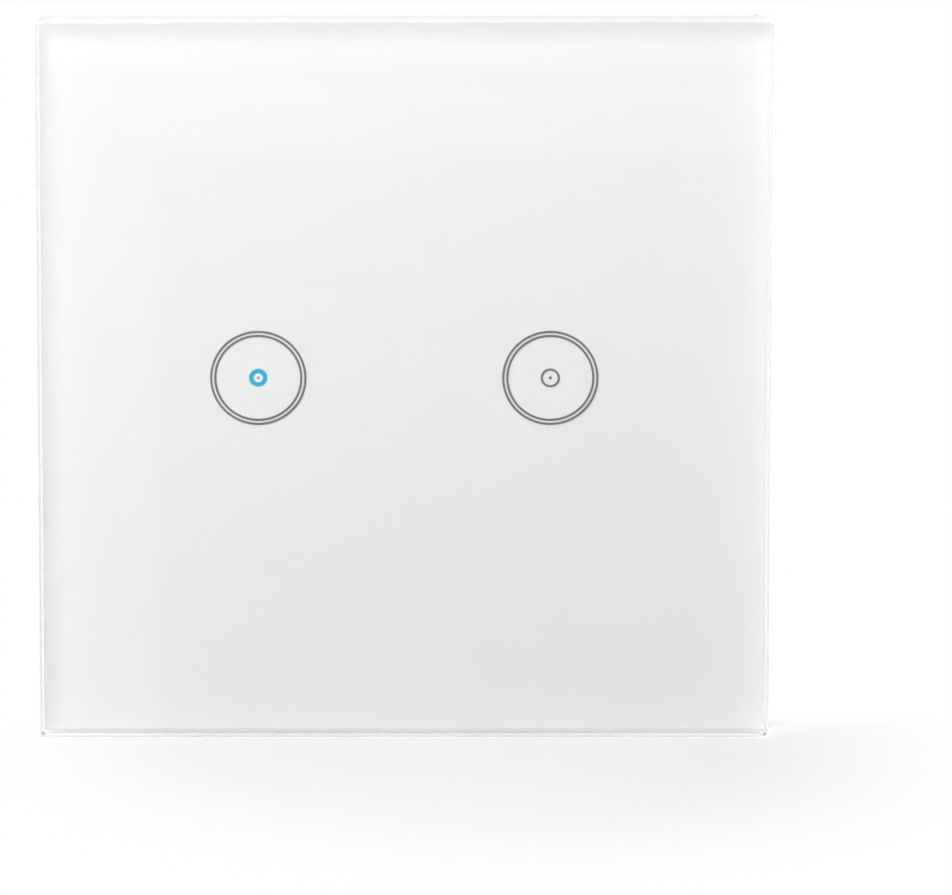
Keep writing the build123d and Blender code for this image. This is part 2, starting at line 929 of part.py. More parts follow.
# The wound bobbin, with the head of its iron core facing the armature
def relay_coil(side):
    x = coil_middle(side)
    front = relay_seat() + relay_base_thickness + yoke_thickness
    pole = yoke_back() + armature_seat_gap - armature_air_gap
    back = pole - core_head_height
    flange = Pos(x, relay_middle) * Rectangle(coil_flange_width, coil_flange_width)
    coil = run_back(flange, front, front + coil_flange)
    coil += run_back(flange, back - coil_flange, back)
    wound = Rectangle(coil_width, coil_width)
    coil += run_back(Pos(x, relay_middle) * chamfer(wound.vertices(), coil_corner), front, back)
    head = Rectangle(core_head_width, core_head_width)
    return coil + run_back(Pos(x, relay_middle) * head, back, pole)


def contact_blade_left(side):
    right = relay_left(side) + relay_width - relay_case_wall
    return right - slide_gap - contact_blade_thickness


def contact_middle(side):
    return contact_blade_left(side) - contact_tab_length / 2


def armature_front():
    return yoke_back() + armature_seat_gap


# A plate that swings on the yoke's edge, with the contact spring and its button fixed to it
def relay_armature(side):
    left = yoke_left(side)
    front = armature_front()
    back = front + armature_thickness
    right = coil_middle(side) + core_head_width / 2 + armature_overhang
    z_span = (relay_middle - yoke_width / 2, relay_middle + yoke_width / 2)
    plate = span_box((left, right), (front, back), z_span)
    spring = span_box(
        (coil_middle(side) - coil_width / 2, contact_middle(side) + contact_width / 2),
        (back, back + contact_spring_thickness),
        (relay_middle - contact_spring_width / 2, relay_middle + contact_spring_width / 2),
    )
    button = Pos(contact_middle(side), relay_middle) * Rectangle(contact_width, contact_width)
    return plate + spring + run_back(button, back - contact_height, back)


# The fixed contact that the armature's button meets, on a blade bent over at its top
def relay_contacts(side):
    left = contact_blade_left(side)
    button_back = armature_front() + armature_thickness - contact_height - contact_travel
    tab_back = button_back - contact_height / 2
    z_span = (relay_middle - contact_blade_width / 2, relay_middle + contact_blade_width / 2)
    blade = span_box((left, left + contact_blade_thickness), (relay_seat(), tab_back), z_span)
    blade += span_box(
        (left - contact_tab_length, left),
        (tab_back - contact_blade_thickness, tab_back),
        z_span,
    )
    button = Pos(contact_middle(side), relay_middle) * Rectangle(contact_width, contact_width)
    return blade + run_back(button, tab_back, button_back)


def transformer_middle():
    x = relay_left(-1) + core_width / 2
    z = supply_row_bottom + winding_depth / 2
    return x, z


# Two E halves closed to one core, with a window each side of the centre leg
def transformer_core():
    x, z = transformer_middle()
    front = power_board_back + bobbin_foot
    back = front + core_height
    core = span_box((x - core_width / 2, x + core_width / 2), (front, back), (z - core_depth / 2, z + core_depth / 2))
    for side in (-1, 1):
        near = x + side * core_centre_leg / 2
        far = x + side * (core_width / 2 - core_leg)
        core -= span_box(
            (min(near, far), max(near, far)),
            (front + core_leg, back - core_leg),
            (z - core_depth / 2 - cut_overrun, z + core_depth / 2 + cut_overrun),
        )
    return core


def transformer_winding():
    x, z = transformer_middle()
    window_front = power_board_back + bobbin_foot + core_leg + hairline
    window_back = power_board_back + bobbin_foot + core_height - core_leg - hairline
    place = Pos(x, z)
    wide = Rectangle(winding_width, winding_depth)
    wound = RectangleRounded(winding_width - bobbin_flange, winding_depth - bobbin_flange, winding_round)
    winding = run_back(place * wound, window_front, window_back)
    winding += run_back(place * wide, window_front, window_front + bobbin_flange)
    winding += run_back(place * wide, window_back - bobbin_flange, window_back)
    leg_hole = Rectangle(core_centre_leg + hairline * 2, core_depth + hairline * 2)
    winding -= run_back(place * leg_hole, window_front, window_back)
    for up in (-1, 1):
        near = z + up * (core_depth / 2 + hairline)
        far = z + up * winding_depth / 2
        winding += span_box(
            (x - winding_width / 2, x + winding_width / 2),
            (power_board_back, window_front),
            (min(near, far), max(near, far)),
        )
    return winding


def standing_can(x, z, radius, height):
    return rod(x, z, radius, power_board_back, power_board_back + height)


def bulk_capacitors():
    core_right = transformer_middle()[0] + core_width / 2
    large_x = core_right + part_gap + large_can_radius
    large_z = supply_row_bottom + large_can_radius
    small_x = large_x + large_can_radius + part_gap + small_can_radius
    small_z = supply_row_bottom + small_can_radius
    large = standing_can(large_x, large_z, large_can_radius, large_can_height)
    small = standing_can(small_x, small_z, small_can_radius, small_can_height)
    return Compound(children=[large, small]), small_x + small_can_radius


# A lacquered resistor that lies along Z on two bent flat legs
def fuse_resistor():
    x = bulk_capacitors()[1] + part_gap + fuse_radius
    low = supply_row_bottom + fuse_leg_reach
    y = power_board_back + fuse_stand
    body = Pos(x, y, low + fuse_length / 2) * Cylinder(fuse_radius, fuse_length)
    x_span = (x - leg_thickness / 2, x + leg_thickness / 2)
    for end in (-1, 1):
        middle = low + fuse_length / 2
        near = middle + end * (fuse_length - leg_thickness) / 2
        far = middle + end * (fuse_length / 2 + fuse_leg_reach)
        bend = far - end * leg_thickness
        wire = (y - leg_thickness / 2, y + leg_thickness / 2)
        body += span_box(x_span, wire, (min(near, far), max(near, far)))
        body += span_box(x_span, (power_board_back, wire[1]), (min(bend, far), max(bend, far)))
    return body


def varistor():
    fuse_right = bulk_capacitors()[1] + part_gap + fuse_radius * 2
    x = fuse_right + part_gap + varistor_thickness / 2
    z = supply_row_bottom + varistor_radius
    y = power_board_back + varistor_stand + varistor_radius
    disc = Pos(x, y, z) * Rot(0, 90, 0) * Cylinder(varistor_radius, varistor_thickness)
    for end in (-1, 1):
        leg = Pos(x, z + end * varistor_radius / 2) * Rectangle(leg_thickness, leg_thickness)
        disc += run_back(leg, power_board_back, y)
    return disc


def film_capacitor():
    x = 0
    z = second_row_bottom + film_depth / 2
    box = span_box(
        (x - film_width / 2, x + film_width / 2),
        (power_board_back, power_board_back + film_height),
        (z - film_depth / 2, z + film_depth / 2),
    )
    box = chamfer(box.edges().filter_by(Axis.Y), film_edge)
    return chamfer(box.faces().sort_by(Axis.Y)[-1].edges(), film_edge)


def power_chip():
    x = -film_width / 2 - part_gap * 2 - power_chip_length / 2
    z = second_row_bottom + lead_length + power_chip_width / 2
    return leaded_chip(
        x, z, power_chip_length, power_chip_width, power_chip_height,
        power_chip_lead_count, power_board_back, 1,
    )


# Everything cut from the block for one pole: cage room, wire mouth, screw well and blade slots
def pole_room(x):
    half = cavity_width / 2
    room = span_box((x - half, x + half), (cavity_front, cavity_back), (cavity_bottom, cavity_top))
    mouth_plane = Plane(origin=(x, mouth_depth, block_bottom), x_dir=(1, 0, 0), z_dir=(0, 0, 1))
    mouth_end = funnel_depth + mouth_length
    room += extrude(mouth_plane * Circle(mouth_radius), amount=mouth_end)
    wide = (mouth_radius + funnel_flare) * 2
    narrow = mouth_plane.offset(funnel_depth) * Rectangle(mouth_radius * 2, mouth_radius * 2)
    room += loft([mouth_plane * Rectangle(wide, wide), narrow], ruled=True)
    middle = Pos(x, (cage_low + cage_high) / 2)
    shank_width = (terminal_screw_radius + hairline) * 2
    room += run_back(middle * Rectangle(shank_width, shank_width), cavity_back, well_front)
    room += run_back(middle * Rectangle(terminal_well_width, terminal_well_width), well_front, well_back)
    room += run_back(middle * Circle(driver_hole_radius), well_back, block_back)
    half_blade = blade_width / 2 + hairline
    room += span_box(
        (x - half_blade, x + half_blade),
        (blade_front - hairline, blade_back + hairline),
        (cavity_top, block_top),
    )
    room += span_box(
        (x - half_blade, x + half_blade),
        (power_board_back, blade_back + hairline),
        (blade_leg_bottom - hairline, block_top),
    )
    return room


def terminal_block():
    block = span_box(
        (-block_half_width, block_half_width),
        (power_board_back, block_back),
        (block_bottom, block_top),
    )
    block = chamfer(block.faces().sort_by(Axis.Y)[-1].edges(), block_edge)
    groove_bottom = block_bottom + block_edge
    for left, right in zip(pole_places, pole_places[1:]):
        middle = (left + right) / 2
        block -= span_box(
            (middle - block_edge / 2, middle + block_edge / 2),
            (power_board_back + block_floor, block_back + cut_overrun),
            (block_bottom - cut_overrun, groove_bottom),
        )
    for x in pole_places:
        block -= pole_room(x)
    return block


# The flat contacts under the screws, each with a leg soldered into the power board
def terminal_blades():
    blades = []
    for x in pole_places:
        x_span = (x - blade_width / 2, x + blade_width / 2)
        blade = span_box(x_span, (blade_front, blade_back), (cage_low + slide_gap, blade_leg_top))
        blade += span_box(x_span, (power_board_back, blade_front), (blade_leg_bottom, blade_leg_top))
        pin_span = (x - blade_pin_width / 2, x + blade_pin_width / 2)
        pin_front = power_board_front - blade_pin_reach
        blade += span_box(pin_span, (pin_front, power_board_back), (blade_leg_bottom, blade_leg_top))
        groove_pitch = cage_depth / (blade_grooves + 1)
        for index in range(blade_grooves):
            z = cage_low + (index + 1) * groove_pitch
            blade -= span_box(
                x_span,
                (blade_front - cut_overrun, blade_front + blade_tooth),
                (z - blade_tooth, z + blade_tooth),
            )
        blades.append(blade)
    return Compound(children=blades)


# A square steel ring that the screw lifts, so that its floor clamps the wire to the blade
def terminal_cage(x):
    window_front = cage_rest + cage_bottom
    window_back = window_front + cage_window
    cage = span_box(
        (x - cage_width / 2, x + cage_width / 2),
        (cage_rest, cage_rest + cage_height),
        (cage_low, cage_high),
    )
    cage = chamfer(cage.edges().filter_by(Axis.Z), cage_edge)
    half_window = cage_width / 2 - cage_side
    cage -= span_box((x - half_window, x + half_window), (window_front, window_back), (cage_low, cage_high))
    middle = (cage_low + cage_high) / 2
    return cage - rod(x, middle, terminal_screw_radius + hairline, window_back, cage_rest + cage_height)


def terminal_screw(x):
    middle = (cage_low + cage_high) / 2
    head_back = head_front + terminal_head_height
    screw = rod(x, middle, terminal_screw_radius, blade_back + hairline, head_front)
    head = rod(x, middle, terminal_head_radius, head_front, head_back)
    slot = span_box(
        (x - terminal_head_radius, x + terminal_head_radius),
        (head_back - driver_slot_depth, head_back + cut_overrun),
        (middle - driver_slot_width / 2, middle + driver_slot_width / 2),
    )
    return screw + (head - slot)


def all_pieces():
    pieces = {
        "glass_panel": glass_panel(),
        "back_print": back_print(),
        "panel_tape": panel_tape(),
        "panel_frame": panel_frame(),
        "support_plate": support_plate(),
        "touch_tray": touch_tray(),
        "touch_board": touch_board(),
        "touch_chips": touch_chips(),
        "status_leds": status_leds(),
        "board_header": board_header(),
        "board_socket": board_socket(),
        "wifi_board": wifi_board(),
        "wifi_shield": wifi_shield(),
        "rear_housing": rear_housing(),
        "housing_screws": housing_screws(),
        "power_board": power_board(),
        "transformer_core": transformer_core(),
        "transformer_winding": transformer_winding(),
        "bulk_capacitors": bulk_capacitors()[0],
        "film_capacitor": film_capacitor(),
        "varistor": varistor(),
        "fuse_resistor": fuse_resistor(),
        "power_chip": power_chip(),
        "terminal_block": terminal_block(),
        "terminal_blades": terminal_blades(),
    }
    for side, side_name in ((-1, "left"), (1, "right")):
        pieces[f"light_window_{side_name}"] = light_window(side)
        pieces[f"touch_spring_{side_name}"] = touch_spring(side)
        pieces[f"light_shroud_{side_name}"] = light_shroud(side)
    for side, number in ((-1, 1), (1, 2)):
        pieces[f"relay_{number}_case"] = relay_case(side)
        pieces[f"relay_{number}_base"] = relay_base(side)
        pieces[f"relay_{number}_yoke"] = relay_yoke(side)
        pieces[f"relay_{number}_coil"] = relay_coil(side)
        pieces[f"relay_{number}_contacts"] = relay_contacts(side)
        pieces[f"relay_{number}_armature"] = relay_armature(side)
    for number, x in enumerate(pole_places, start=1):
        pieces[f"terminal_cage_{number}"] = terminal_cage(x)
        pieces[f"terminal_screw_{number}"] = terminal_screw(x)
    return pieces


os.makedirs("parts", exist_ok=True)
print_spring_gap()
for node, shape in all_pieces().items():
    export_step(shape, f"parts/{node}.step")
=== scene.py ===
import json
import math
import bmesh
import bpy
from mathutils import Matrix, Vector

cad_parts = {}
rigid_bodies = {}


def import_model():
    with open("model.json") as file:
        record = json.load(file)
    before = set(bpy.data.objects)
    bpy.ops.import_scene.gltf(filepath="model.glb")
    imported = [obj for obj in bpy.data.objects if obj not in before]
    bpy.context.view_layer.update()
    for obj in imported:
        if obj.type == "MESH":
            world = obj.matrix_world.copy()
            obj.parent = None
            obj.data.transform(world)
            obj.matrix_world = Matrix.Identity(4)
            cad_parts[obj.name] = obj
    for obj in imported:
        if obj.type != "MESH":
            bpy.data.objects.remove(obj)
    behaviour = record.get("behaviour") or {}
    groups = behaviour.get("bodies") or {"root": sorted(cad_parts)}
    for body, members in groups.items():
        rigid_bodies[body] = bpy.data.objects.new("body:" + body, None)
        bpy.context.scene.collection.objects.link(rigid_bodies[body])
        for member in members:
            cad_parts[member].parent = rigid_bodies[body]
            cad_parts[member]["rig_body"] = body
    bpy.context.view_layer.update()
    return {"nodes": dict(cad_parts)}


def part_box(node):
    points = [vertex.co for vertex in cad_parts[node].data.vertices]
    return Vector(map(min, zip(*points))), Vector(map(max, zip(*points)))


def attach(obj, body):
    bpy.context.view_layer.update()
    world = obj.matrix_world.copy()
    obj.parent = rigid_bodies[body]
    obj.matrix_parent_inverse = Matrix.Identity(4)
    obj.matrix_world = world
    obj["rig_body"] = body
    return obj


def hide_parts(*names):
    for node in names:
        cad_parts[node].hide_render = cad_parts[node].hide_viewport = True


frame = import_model()
nodes = frame["nodes"]
mm = 0.001
print("frame loaded")


# shader helpers

class Socket:
    def __init__(self, finish, socket):
        self.finish = finish
        self.socket = socket

    def maths(self, operation, *others):
        values = dict(enumerate((self,) + others))
        return self.finish.add("ShaderNodeMath", {"operation": operation}, values)

    def __add__(self, other):
        return self.maths("ADD", other)

    def __sub__(self, other):
        return self.maths("SUBTRACT", other)

    def __mul__(self, other):
        return self.maths("MULTIPLY", other)

    def __truediv__(self, other):
        return self.maths("DIVIDE", other)

    def __radd__(self, other):
        return self + other

    def __rmul__(self, other):
        return self * other

    def __rsub__(self, other):
        return self.finish.add("ShaderNodeMath", {"operation": "SUBTRACT"}, {0: other, 1: self})

    def size(self):
        return self.maths("ABSOLUTE")

    def root(self):
        return self.maths("SQRT")

    def most(self, other):
        return self.maths("MAXIMUM", other)

    def steps(self, low, high):  # 0 below low, 1 above high, smooth between
        return self.finish.add(
            "ShaderNodeMapRange", {"interpolation_type": "SMOOTHSTEP"},
            {"Value": self, "From Min": low, "From Max": high, "To Min": 0.0, "To Max": 1.0},
        )


class Finish:
    def __init__(self, name):
        self.material = bpy.data.materials.new(name)
        self.material.use_nodes = True
        self.tree = self.material.node_tree
        self.tree.nodes.clear()

    def add(self, kind, settings=None, values=None, out=0):
        node = self.tree.nodes.new(kind)
        for key, value in (settings or {}).items():
            if key == "stops":
                self.fillRamp(node, value)
            else:
                setattr(node, key, value)
        for key, value in (values or {}).items():
            if isinstance(value, Socket):
                self.tree.links.new(value.socket, node.inputs[key])
            else:
                node.inputs[key].default_value = value
        return Socket(self, node.outputs[out])

    def fillRamp(self, node, stops):
        elements = node.color_ramp.elements
        while len(elements) > 1:
            elements.remove(elements[-1])
        elements[0].position, elements[0].color = stops[0]
        for place, color in stops[1:]:
            elements.new(place).color = color

    def ramp(self, factor, *stops):
        return self.add("ShaderNodeValToRGB", {"stops": stops}, {0: factor})

    def blend(self, factor, first, second):
        return self.add("ShaderNodeMix", {"data_type": "RGBA"}, {0: factor, 6: first, 7: second}, out=2)

    def place(self, scale=(1000, 1000, 1000), turn=(0, 0, 0)):  # the object's own place, in millimetres
        spot = self.add("ShaderNodeTexCoord", out=3)
        return self.add("ShaderNodeMapping", None, {"Vector": spot, "Scale": scale, "Rotation": turn})

    def axes(self, spot):
        node = self.tree.nodes.new("ShaderNodeSeparateXYZ")
        self.tree.links.new(spot.socket, node.inputs[0])
        return [Socket(self, item) for item in node.outputs]

    def noise(self, spot, scale, detail=3.0, rough=0.5):
        values = {"Vector": spot, "Scale": scale, "Detail": detail, "Roughness": rough}
        return self.add("ShaderNodeTexNoise", None, values)

    def cells(self, spot, scale, kind="EUCLIDEAN", random=1.0, out=0):
        values = {"Vector": spot, "Scale": scale, "Randomness": random}
        return self.add("ShaderNodeTexVoronoi", {"distance": kind}, values, out=out)

    def bump(self, height, strength, distance):
        values = {"Height": height, "Strength": strength, "Distance": distance}
        return self.add("ShaderNodeBump", None, values)

    def close(self, shader):
        output = self.tree.nodes.new("ShaderNodeOutputMaterial")
        self.tree.links.new(shader.socket, output.inputs["Surface"])
        return self.material

    def surface(self, **values):
        named = {key.replace("_", " "): value for key, value in values.items()}
        return self.add("ShaderNodeBsdfPrincipled", None, named)


def rgb(red, green, blue):
    return (red, green, blue, 1.0)


def darker(color, share):
    return rgb(*[c * (1 - share) for c in color[:3]])


moulded = dict(patchScale=0.06, patches=(0.35, 0.7), speckScale=0.35, specks=(0.66, 0.74), speckShare=0.5,
               speckShade=1.6, grainStrength=0.35, roughSwing=0.12)


def plasticFinish(name, color, rough=0.42, grain=0.02, grainScale=2.4, shade=0.05):  # moulded, spark-eroded
    m = moulded
    f = Finish(name)
    spot = f.place()
    patches = f.noise(spot, m["patchScale"], 2.0)
    fine = f.noise(spot, grainScale, 3.0, 0.6)
    specks = f.noise(spot, grainScale * m["speckScale"], 2.0)
    base = f.blend(patches.steps(*m["patches"]), darker(color, shade), rgb(*color))
    speckColor = darker(color, shade * m["speckShade"])
    base = f.blend(specks.steps(*m["specks"]) * m["speckShare"], base, speckColor)
    level = rough + (fine - 0.5) * m["roughSwing"]
    normal = f.bump(fine, m["grainStrength"], grain * mm)
    return f.close(f.surface(Base_Color=base, Roughness=level, Normal=normal))


drawn = dict(fine=2400, long=60, lines=(0.45, 0.8), lineShare=0.4, lineShade=0.21, lineSwing=0.18,
             lineDepth=0.012, cloudScale=0.22, clouds=(0.3, 0.72), cloudShade=0.14, cloudSwing=0.1)


def metalFinish(name, color, rough, along="X"):  # rolled or drawn one way
    d = drawn
    f = Finish(name)
    scale = [d["long"] if axis == along else d["fine"] for axis in "XYZ"]
    lines = f.noise(f.place(scale), 1.0, 2.0, 0.6)
    clouds = f.noise(f.place(), d["cloudScale"], 3.0)
    base = f.blend(clouds.steps(*d["clouds"]), darker(color, d["cloudShade"]), rgb(*color))
    base = f.blend(lines.steps(*d["lines"]) * d["lineShare"], base, darker(color, d["lineShade"]))
    level = rough + (lines - 0.5) * d["lineSwing"] + (clouds - 0.5) * d["cloudSwing"]
    normal = f.bump(lines, 0.25, d["lineDepth"] * mm)
    return f.close(f.surface(Base_Color=base, Metallic=1.0, Roughness=level, Normal=normal))


spangle = dict(cell=0.25, cellShare=0.32, cellSwing=0.10, cloudScale=0.09, cloudShare=0.8,
               rolled=(40, 1800, 1800), rolledTurn=0.02, rolledSwing=0.16, scratch=(3000, 3000, 70),
               scratchTurn=0.5, scratches=(0.7, 0.76), scratchShare=0.35, rough=0.34, depth=0.012)


def zincFinish(name, pale, dark):  # rolled sheet with a faint spangle and fine scratches
    s = spangle
    f = Finish(name)
    spot = f.place()
    tones = f.add("ShaderNodeSeparateColor", None, {0: f.cells(spot, s["cell"], out=1)})
    clouds = f.noise(spot, s["cloudScale"], 3.0)
    rolled = f.noise(f.place(s["rolled"], (0.0, s["rolledTurn"], 0.0)), 1.0, 2.0, 0.6)
    thin = f.noise(f.place(s["scratch"], (0.0, s["scratchTurn"], 0.0)), 0.9, 1.0)
    scratches = thin.steps(*s["scratches"])
    mix = (tones - 0.5) * s["cellShare"] + (clouds - 0.5) * s["cloudShare"] + 0.5
    base = f.blend(mix, rgb(*dark), rgb(*pale))
    base = f.blend(scratches * s["scratchShare"], base, rgb(*pale))
    level = s["rough"] + (tones - 0.5) * s["cellSwing"] + (rolled - 0.5) * s["rolledSwing"]
    normal = f.bump(rolled * 0.6 + scratches * 0.4, 0.3, s["depth"] * mm)
    return f.close(f.surface(Base_Color=base, Metallic=1.0, Roughness=level, Normal=normal))


masked = dict(random=0.8, runs=(0.40, 0.46), step=0.035, fineScale=1.4, fine=(0.4, 0.8), fineShare=0.25,
              fineShade=0.2, rough=0.24, roughSwing=0.12)


def boardFinish(name, bare, covered, cell):  # solder mask that sinks between the copper runs
    m = masked
    f = Finish(name)
    spot = f.place()
    runs = f.cells(spot, cell, "CHEBYCHEV", m["random"]).steps(*m["runs"])
    fine = f.noise(spot, m["fineScale"], 3.0)
    base = f.blend(runs, rgb(*covered), rgb(*bare))
    base = f.blend(fine.steps(*m["fine"]) * m["fineShare"], base, darker(bare, m["fineShade"]))
    level = m["rough"] + (fine - 0.5) * m["roughSwing"]
    normal = f.bump(1 - runs, 0.6, m["step"] * mm)
    return f.close(f.surface(Base_Color=base, Roughness=level, Normal=normal))


foam = dict(pores=(0.05, 0.5), poreShade=0.45, depth=0.12, softScale=0.7, soft=(0.3, 0.8), softShare=0.3,
            softShade=0.18, rough=0.92, roughSwing=0.1)


def foamFinish(name, color, cell):  # open cells in a soft sheet
    m = foam
    f = Finish(name)
    spot = f.place()
    pores = f.cells(spot, cell)
    soft = f.noise(spot, m["softScale"], 3.0)
    # painted shade: the pores are darker than the sheet as well as sunk by the bump
    base = f.blend(pores.steps(*m["pores"]), darker(color, m["poreShade"]), rgb(*color))
    base = f.blend(soft.steps(*m["soft"]) * m["softShare"], base, darker(color, m["softShade"]))
    level = m["rough"] - pores * m["roughSwing"]
    normal = f.bump(pores, 0.8, m["depth"] * mm)
    return f.close(f.surface(Base_Color=base, Roughness=level, Normal=normal))


def inkFinish(name, color, rough=0.5, scale=9.0):
    f = Finish(name)
    grain = f.noise(f.place(), scale, 3.0, 0.6)
    base = f.blend(grain, darker(color, 0.1), rgb(*color))
    return f.close(f.surface(Base_Color=base, Roughness=rough + (grain - 0.5) * 0.1))


def bandFinish(name, color, bands, front, back, soft=0.06):  # colour bands across a part that lies along Z
    f = Finish(name)
    spot = f.place()
    z = f.axes(spot)[2]
    fine = f.noise(spot, 1.8, 3.0)
    base = f.blend(fine, darker(color, 0.08), rgb(*color))
    for place, width, bandColor in bands:
        middle = front + (back - front) * place
        mask = 1 - (z - middle).size().steps(width / 2, width / 2 + soft)
        base = f.blend(mask, base, rgb(*bandColor))
    normal = f.bump(fine, 0.4, 0.03 * mm)
    return f.close(f.surface(Base_Color=base, Roughness=0.3 + (fine - 0.5) * 0.14, Normal=normal))


winding = dict(layers=(120, 900, 120), layerSteps=(0.35, 0.7), layerShade=0.22, layerShare=0.7,
               creaseShare=0.3, depth=0.05, rough=0.22, roughSwing=0.2)


def tapeFinish(name, color):  # thin winding tape, with the edges of its layers showing
    w = winding
    f = Finish(name)
    layers = f.noise(f.place(w["layers"]), 1.2, 2.0)
    creases = f.noise(f.place(), 0.8, 3.0)
    base = f.blend(layers.steps(*w["layerSteps"]), darker(color, w["layerShade"]), rgb(*color))
    level = w["rough"] + (creases - 0.5) * w["roughSwing"]
    normal = f.bump(layers * w["layerShare"] + creases * w["creaseShare"], 0.5, w["depth"] * mm)
    return f.close(f.surface(Base_Color=base, Roughness=level, Normal=normal))


def wireFinish(name, color):  # enamelled copper
    f = Finish(name)
    tone = f.noise(f.place(), 1.1, 3.0)
    base = f.blend(tone.steps(0.3, 0.75), darker(color, 0.3), rgb(*color))
    return f.close(f.surface(Base_Color=base, Metallic=1.0, Roughness=0.26 + (tone - 0.5) * 0.16,
                             Coat_Weight=0.5, Coat_Roughness=0.1))


# mesh helpers

meshFacts = dict(join=0.001, flat=0.5, sharp=28.0)  # millimetres, then degrees


def camel(words):
    first, *rest = words.split("_")
    return first + "".join(word.capitalize() for word in rest)


def finishPiece(name, mesh, body, finishes, replaces=(), even=False):
    for finish in finishes:
        mesh.materials.append(finish)
    piece = bpy.data.objects.new(name, mesh)
    bpy.context.scene.collection.objects.link(piece)
    if even:  # keeps flat faces flat beside rounded edges
        piece.modifiers.new("even", "WEIGHTED_NORMAL").keep_sharp = True
    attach(piece, body)
    if replaces:
        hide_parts(*replaces)
    return piece


def addPiece(name, verts, faces, body, finishes, replaces=(), smooth=True):
    mesh = bpy.data.meshes.new(name)
    mesh.from_pydata([tuple(c * mm for c in v) for v in verts], [], faces)
    mesh.validate()
    work = bmesh.new()  # every face looks outward, which glass needs to bend light the right way
    work.from_mesh(mesh)
    bmesh.ops.recalc_face_normals(work, faces=work.faces[:])
    work.to_mesh(mesh)
    work.free()
    if smooth:
        mesh.shade_smooth()
    return finishPiece(name, mesh, body, finishes, replaces)


def markSharp(work):
    for edge in work.edges:
        if edge.is_manifold and edge.calc_face_angle() > math.radians(meshFacts["sharp"]):
            edge.smooth = False
    for face in work.faces:
        face.smooth = True


def softCopy(node, edge, finishes, pick=None, chosen=None, steps=2, shape=None, extra=None, name=None):
    # a node's own shape with its outer edges rounded, as the moulded or stamped piece has them
    name = name or camel(node)
    work = bmesh.new()
    work.from_mesh(nodes[node].data)
    bmesh.ops.remove_doubles(work, verts=work.verts[:], dist=meshFacts["join"] * mm)
    bmesh.ops.dissolve_limit(
        work, angle_limit=math.radians(meshFacts["flat"]), verts=work.verts[:], edges=work.edges[:])
    bmesh.ops.triangulate(work, faces=work.faces[:], quad_method="BEAUTY", ngon_method="BEAUTY")
    outer = [
        item for item in work.edges
        if item.is_manifold and item.is_convex and item.calc_face_angle() > math.radians(meshFacts["sharp"])
        and (chosen is None or chosen(item))
    ]
    bmesh.ops.bevel(work, geom=outer, offset=edge * mm, offset_type="OFFSET", segments=steps,
                    profile=0.5, affect="EDGES", clamp_overlap=False, loop_slide=False)
    if shape:
        shape(work)
    markSharp(work)
    if pick:
        for face in work.faces:
            face.material_index = pick(face.calc_center_median() / mm, face.normal)
    if extra:
        extra(work)
    mesh = bpy.data.meshes.new(name)
    work.to_mesh(mesh)
    work.free()
    return finishPiece(name, mesh, nodes[node]["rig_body"], finishes, [node], even=True)


def boxOf(node):  # lowest and highest corner in millimetres
    low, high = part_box(node)
    return low / mm, high / mm


def addLoops(work, loops):  # a closed skin over rings of points in millimetres, capped at both ends
    rings = [[work.verts.new([c * mm for c in point]) for point in ring] for ring in loops]
    count = len(rings[0])
    made = []
    for first, second in zip(rings, rings[1:]):
        for i in range(count):
            j = (i + 1) % count
            made.append(work.faces.new((first[i], first[j], second[j], second[i])))
    made.append(work.faces.new(list(reversed(rings[0]))))
    made.append(work.faces.new(rings[-1]))
    for face in made:
        face.smooth = True
    return made


def loopPiece(name, loops, body, finishes, replaces):
    work = bmesh.new()
    addLoops(work, loops)
    bmesh.ops.recalc_face_normals(work, faces=work.faces[:])
    markSharp(work)
    mesh = bpy.data.meshes.new(name)
    work.to_mesh(mesh)
    work.free()
    return finishPiece(name, mesh, body, finishes, replaces, even=True)


def roundedOutline(half, radius, steps, x=0, z=0):  # a square with round corners
    points = []
    for quarter, (sx, sz) in enumerate(((1, 1), (-1, 1), (-1, -1), (1, -1))):
        for step in range(steps + 1):
            angle = math.radians(90 * quarter + 90 * step / steps)
            points.append((x + sx * (half - radius) + radius * math.cos(angle),
                           z + sz * (half - radius) + radius * math.sin(angle)))
    return points


def ring(x, z, radius, depth, steps):
    turn = 2 * math.pi / steps
    return [(x + radius * math.cos(turn * i), depth, z + radius * math.sin(turn * i)) for i in range(steps)]


threadFacts = dict(around=24, perTurn=6, flank=1.4)


def threadLoops(x, z, front, back, root, crest, pitch):
    around = threadFacts["around"]
    rows = max(2, round((back - front) / pitch * threadFacts["perTurn"]))
    loops = []
    for row in range(rows + 1):
        depth = front + (back - front) * row / rows
        points = []
        for i in range(around):
            share = (depth / pitch - i / around) % 1.0
            height = 1 - abs(share * 2 - 1)
            radius = root + (crest - root) * min(1.0, height * threadFacts["flank"])
            angle = 2 * math.pi * i / around
            points.append((x + radius * math.cos(angle), depth, z + radius * math.sin(angle)))
        loops.append(points)
    return loops


# the glass and its print

glass = dict(half=43.0, front=-10.5, back=-6.47, corner=0.6, leastCorner=0.12, cornerShrink=0.8,
             frontEdge=0.32, backEdge=0.2, edgeSteps=6, cornerSteps=6, bigFace=60.0, index=1.5,
             tint=(0.998, 1.0, 0.999), shadow=(0.985, 0.986, 0.985), smudge=0.03, smudgeScale=0.09)


def glassFinish():
    f = Finish("clearGlass")
    smudge = f.noise(f.place(), glass["smudgeScale"], 3.0).steps(0.5, 0.8)  # traces of wiping
    shader = f.surface(Base_Color=rgb(*glass["tint"]), Roughness=smudge * glass["smudge"],
                       IOR=glass["index"], Transmission_Weight=1.0)
    clear = f.add("ShaderNodeBsdfTransparent", None, {"Color": rgb(*glass["shadow"])})
    shadowRay = f.add("ShaderNodeLightPath", out=1)
    return f.close(f.add("ShaderNodeMixShader", None, {0: shadowRay, 1: shader, 2: clear}))


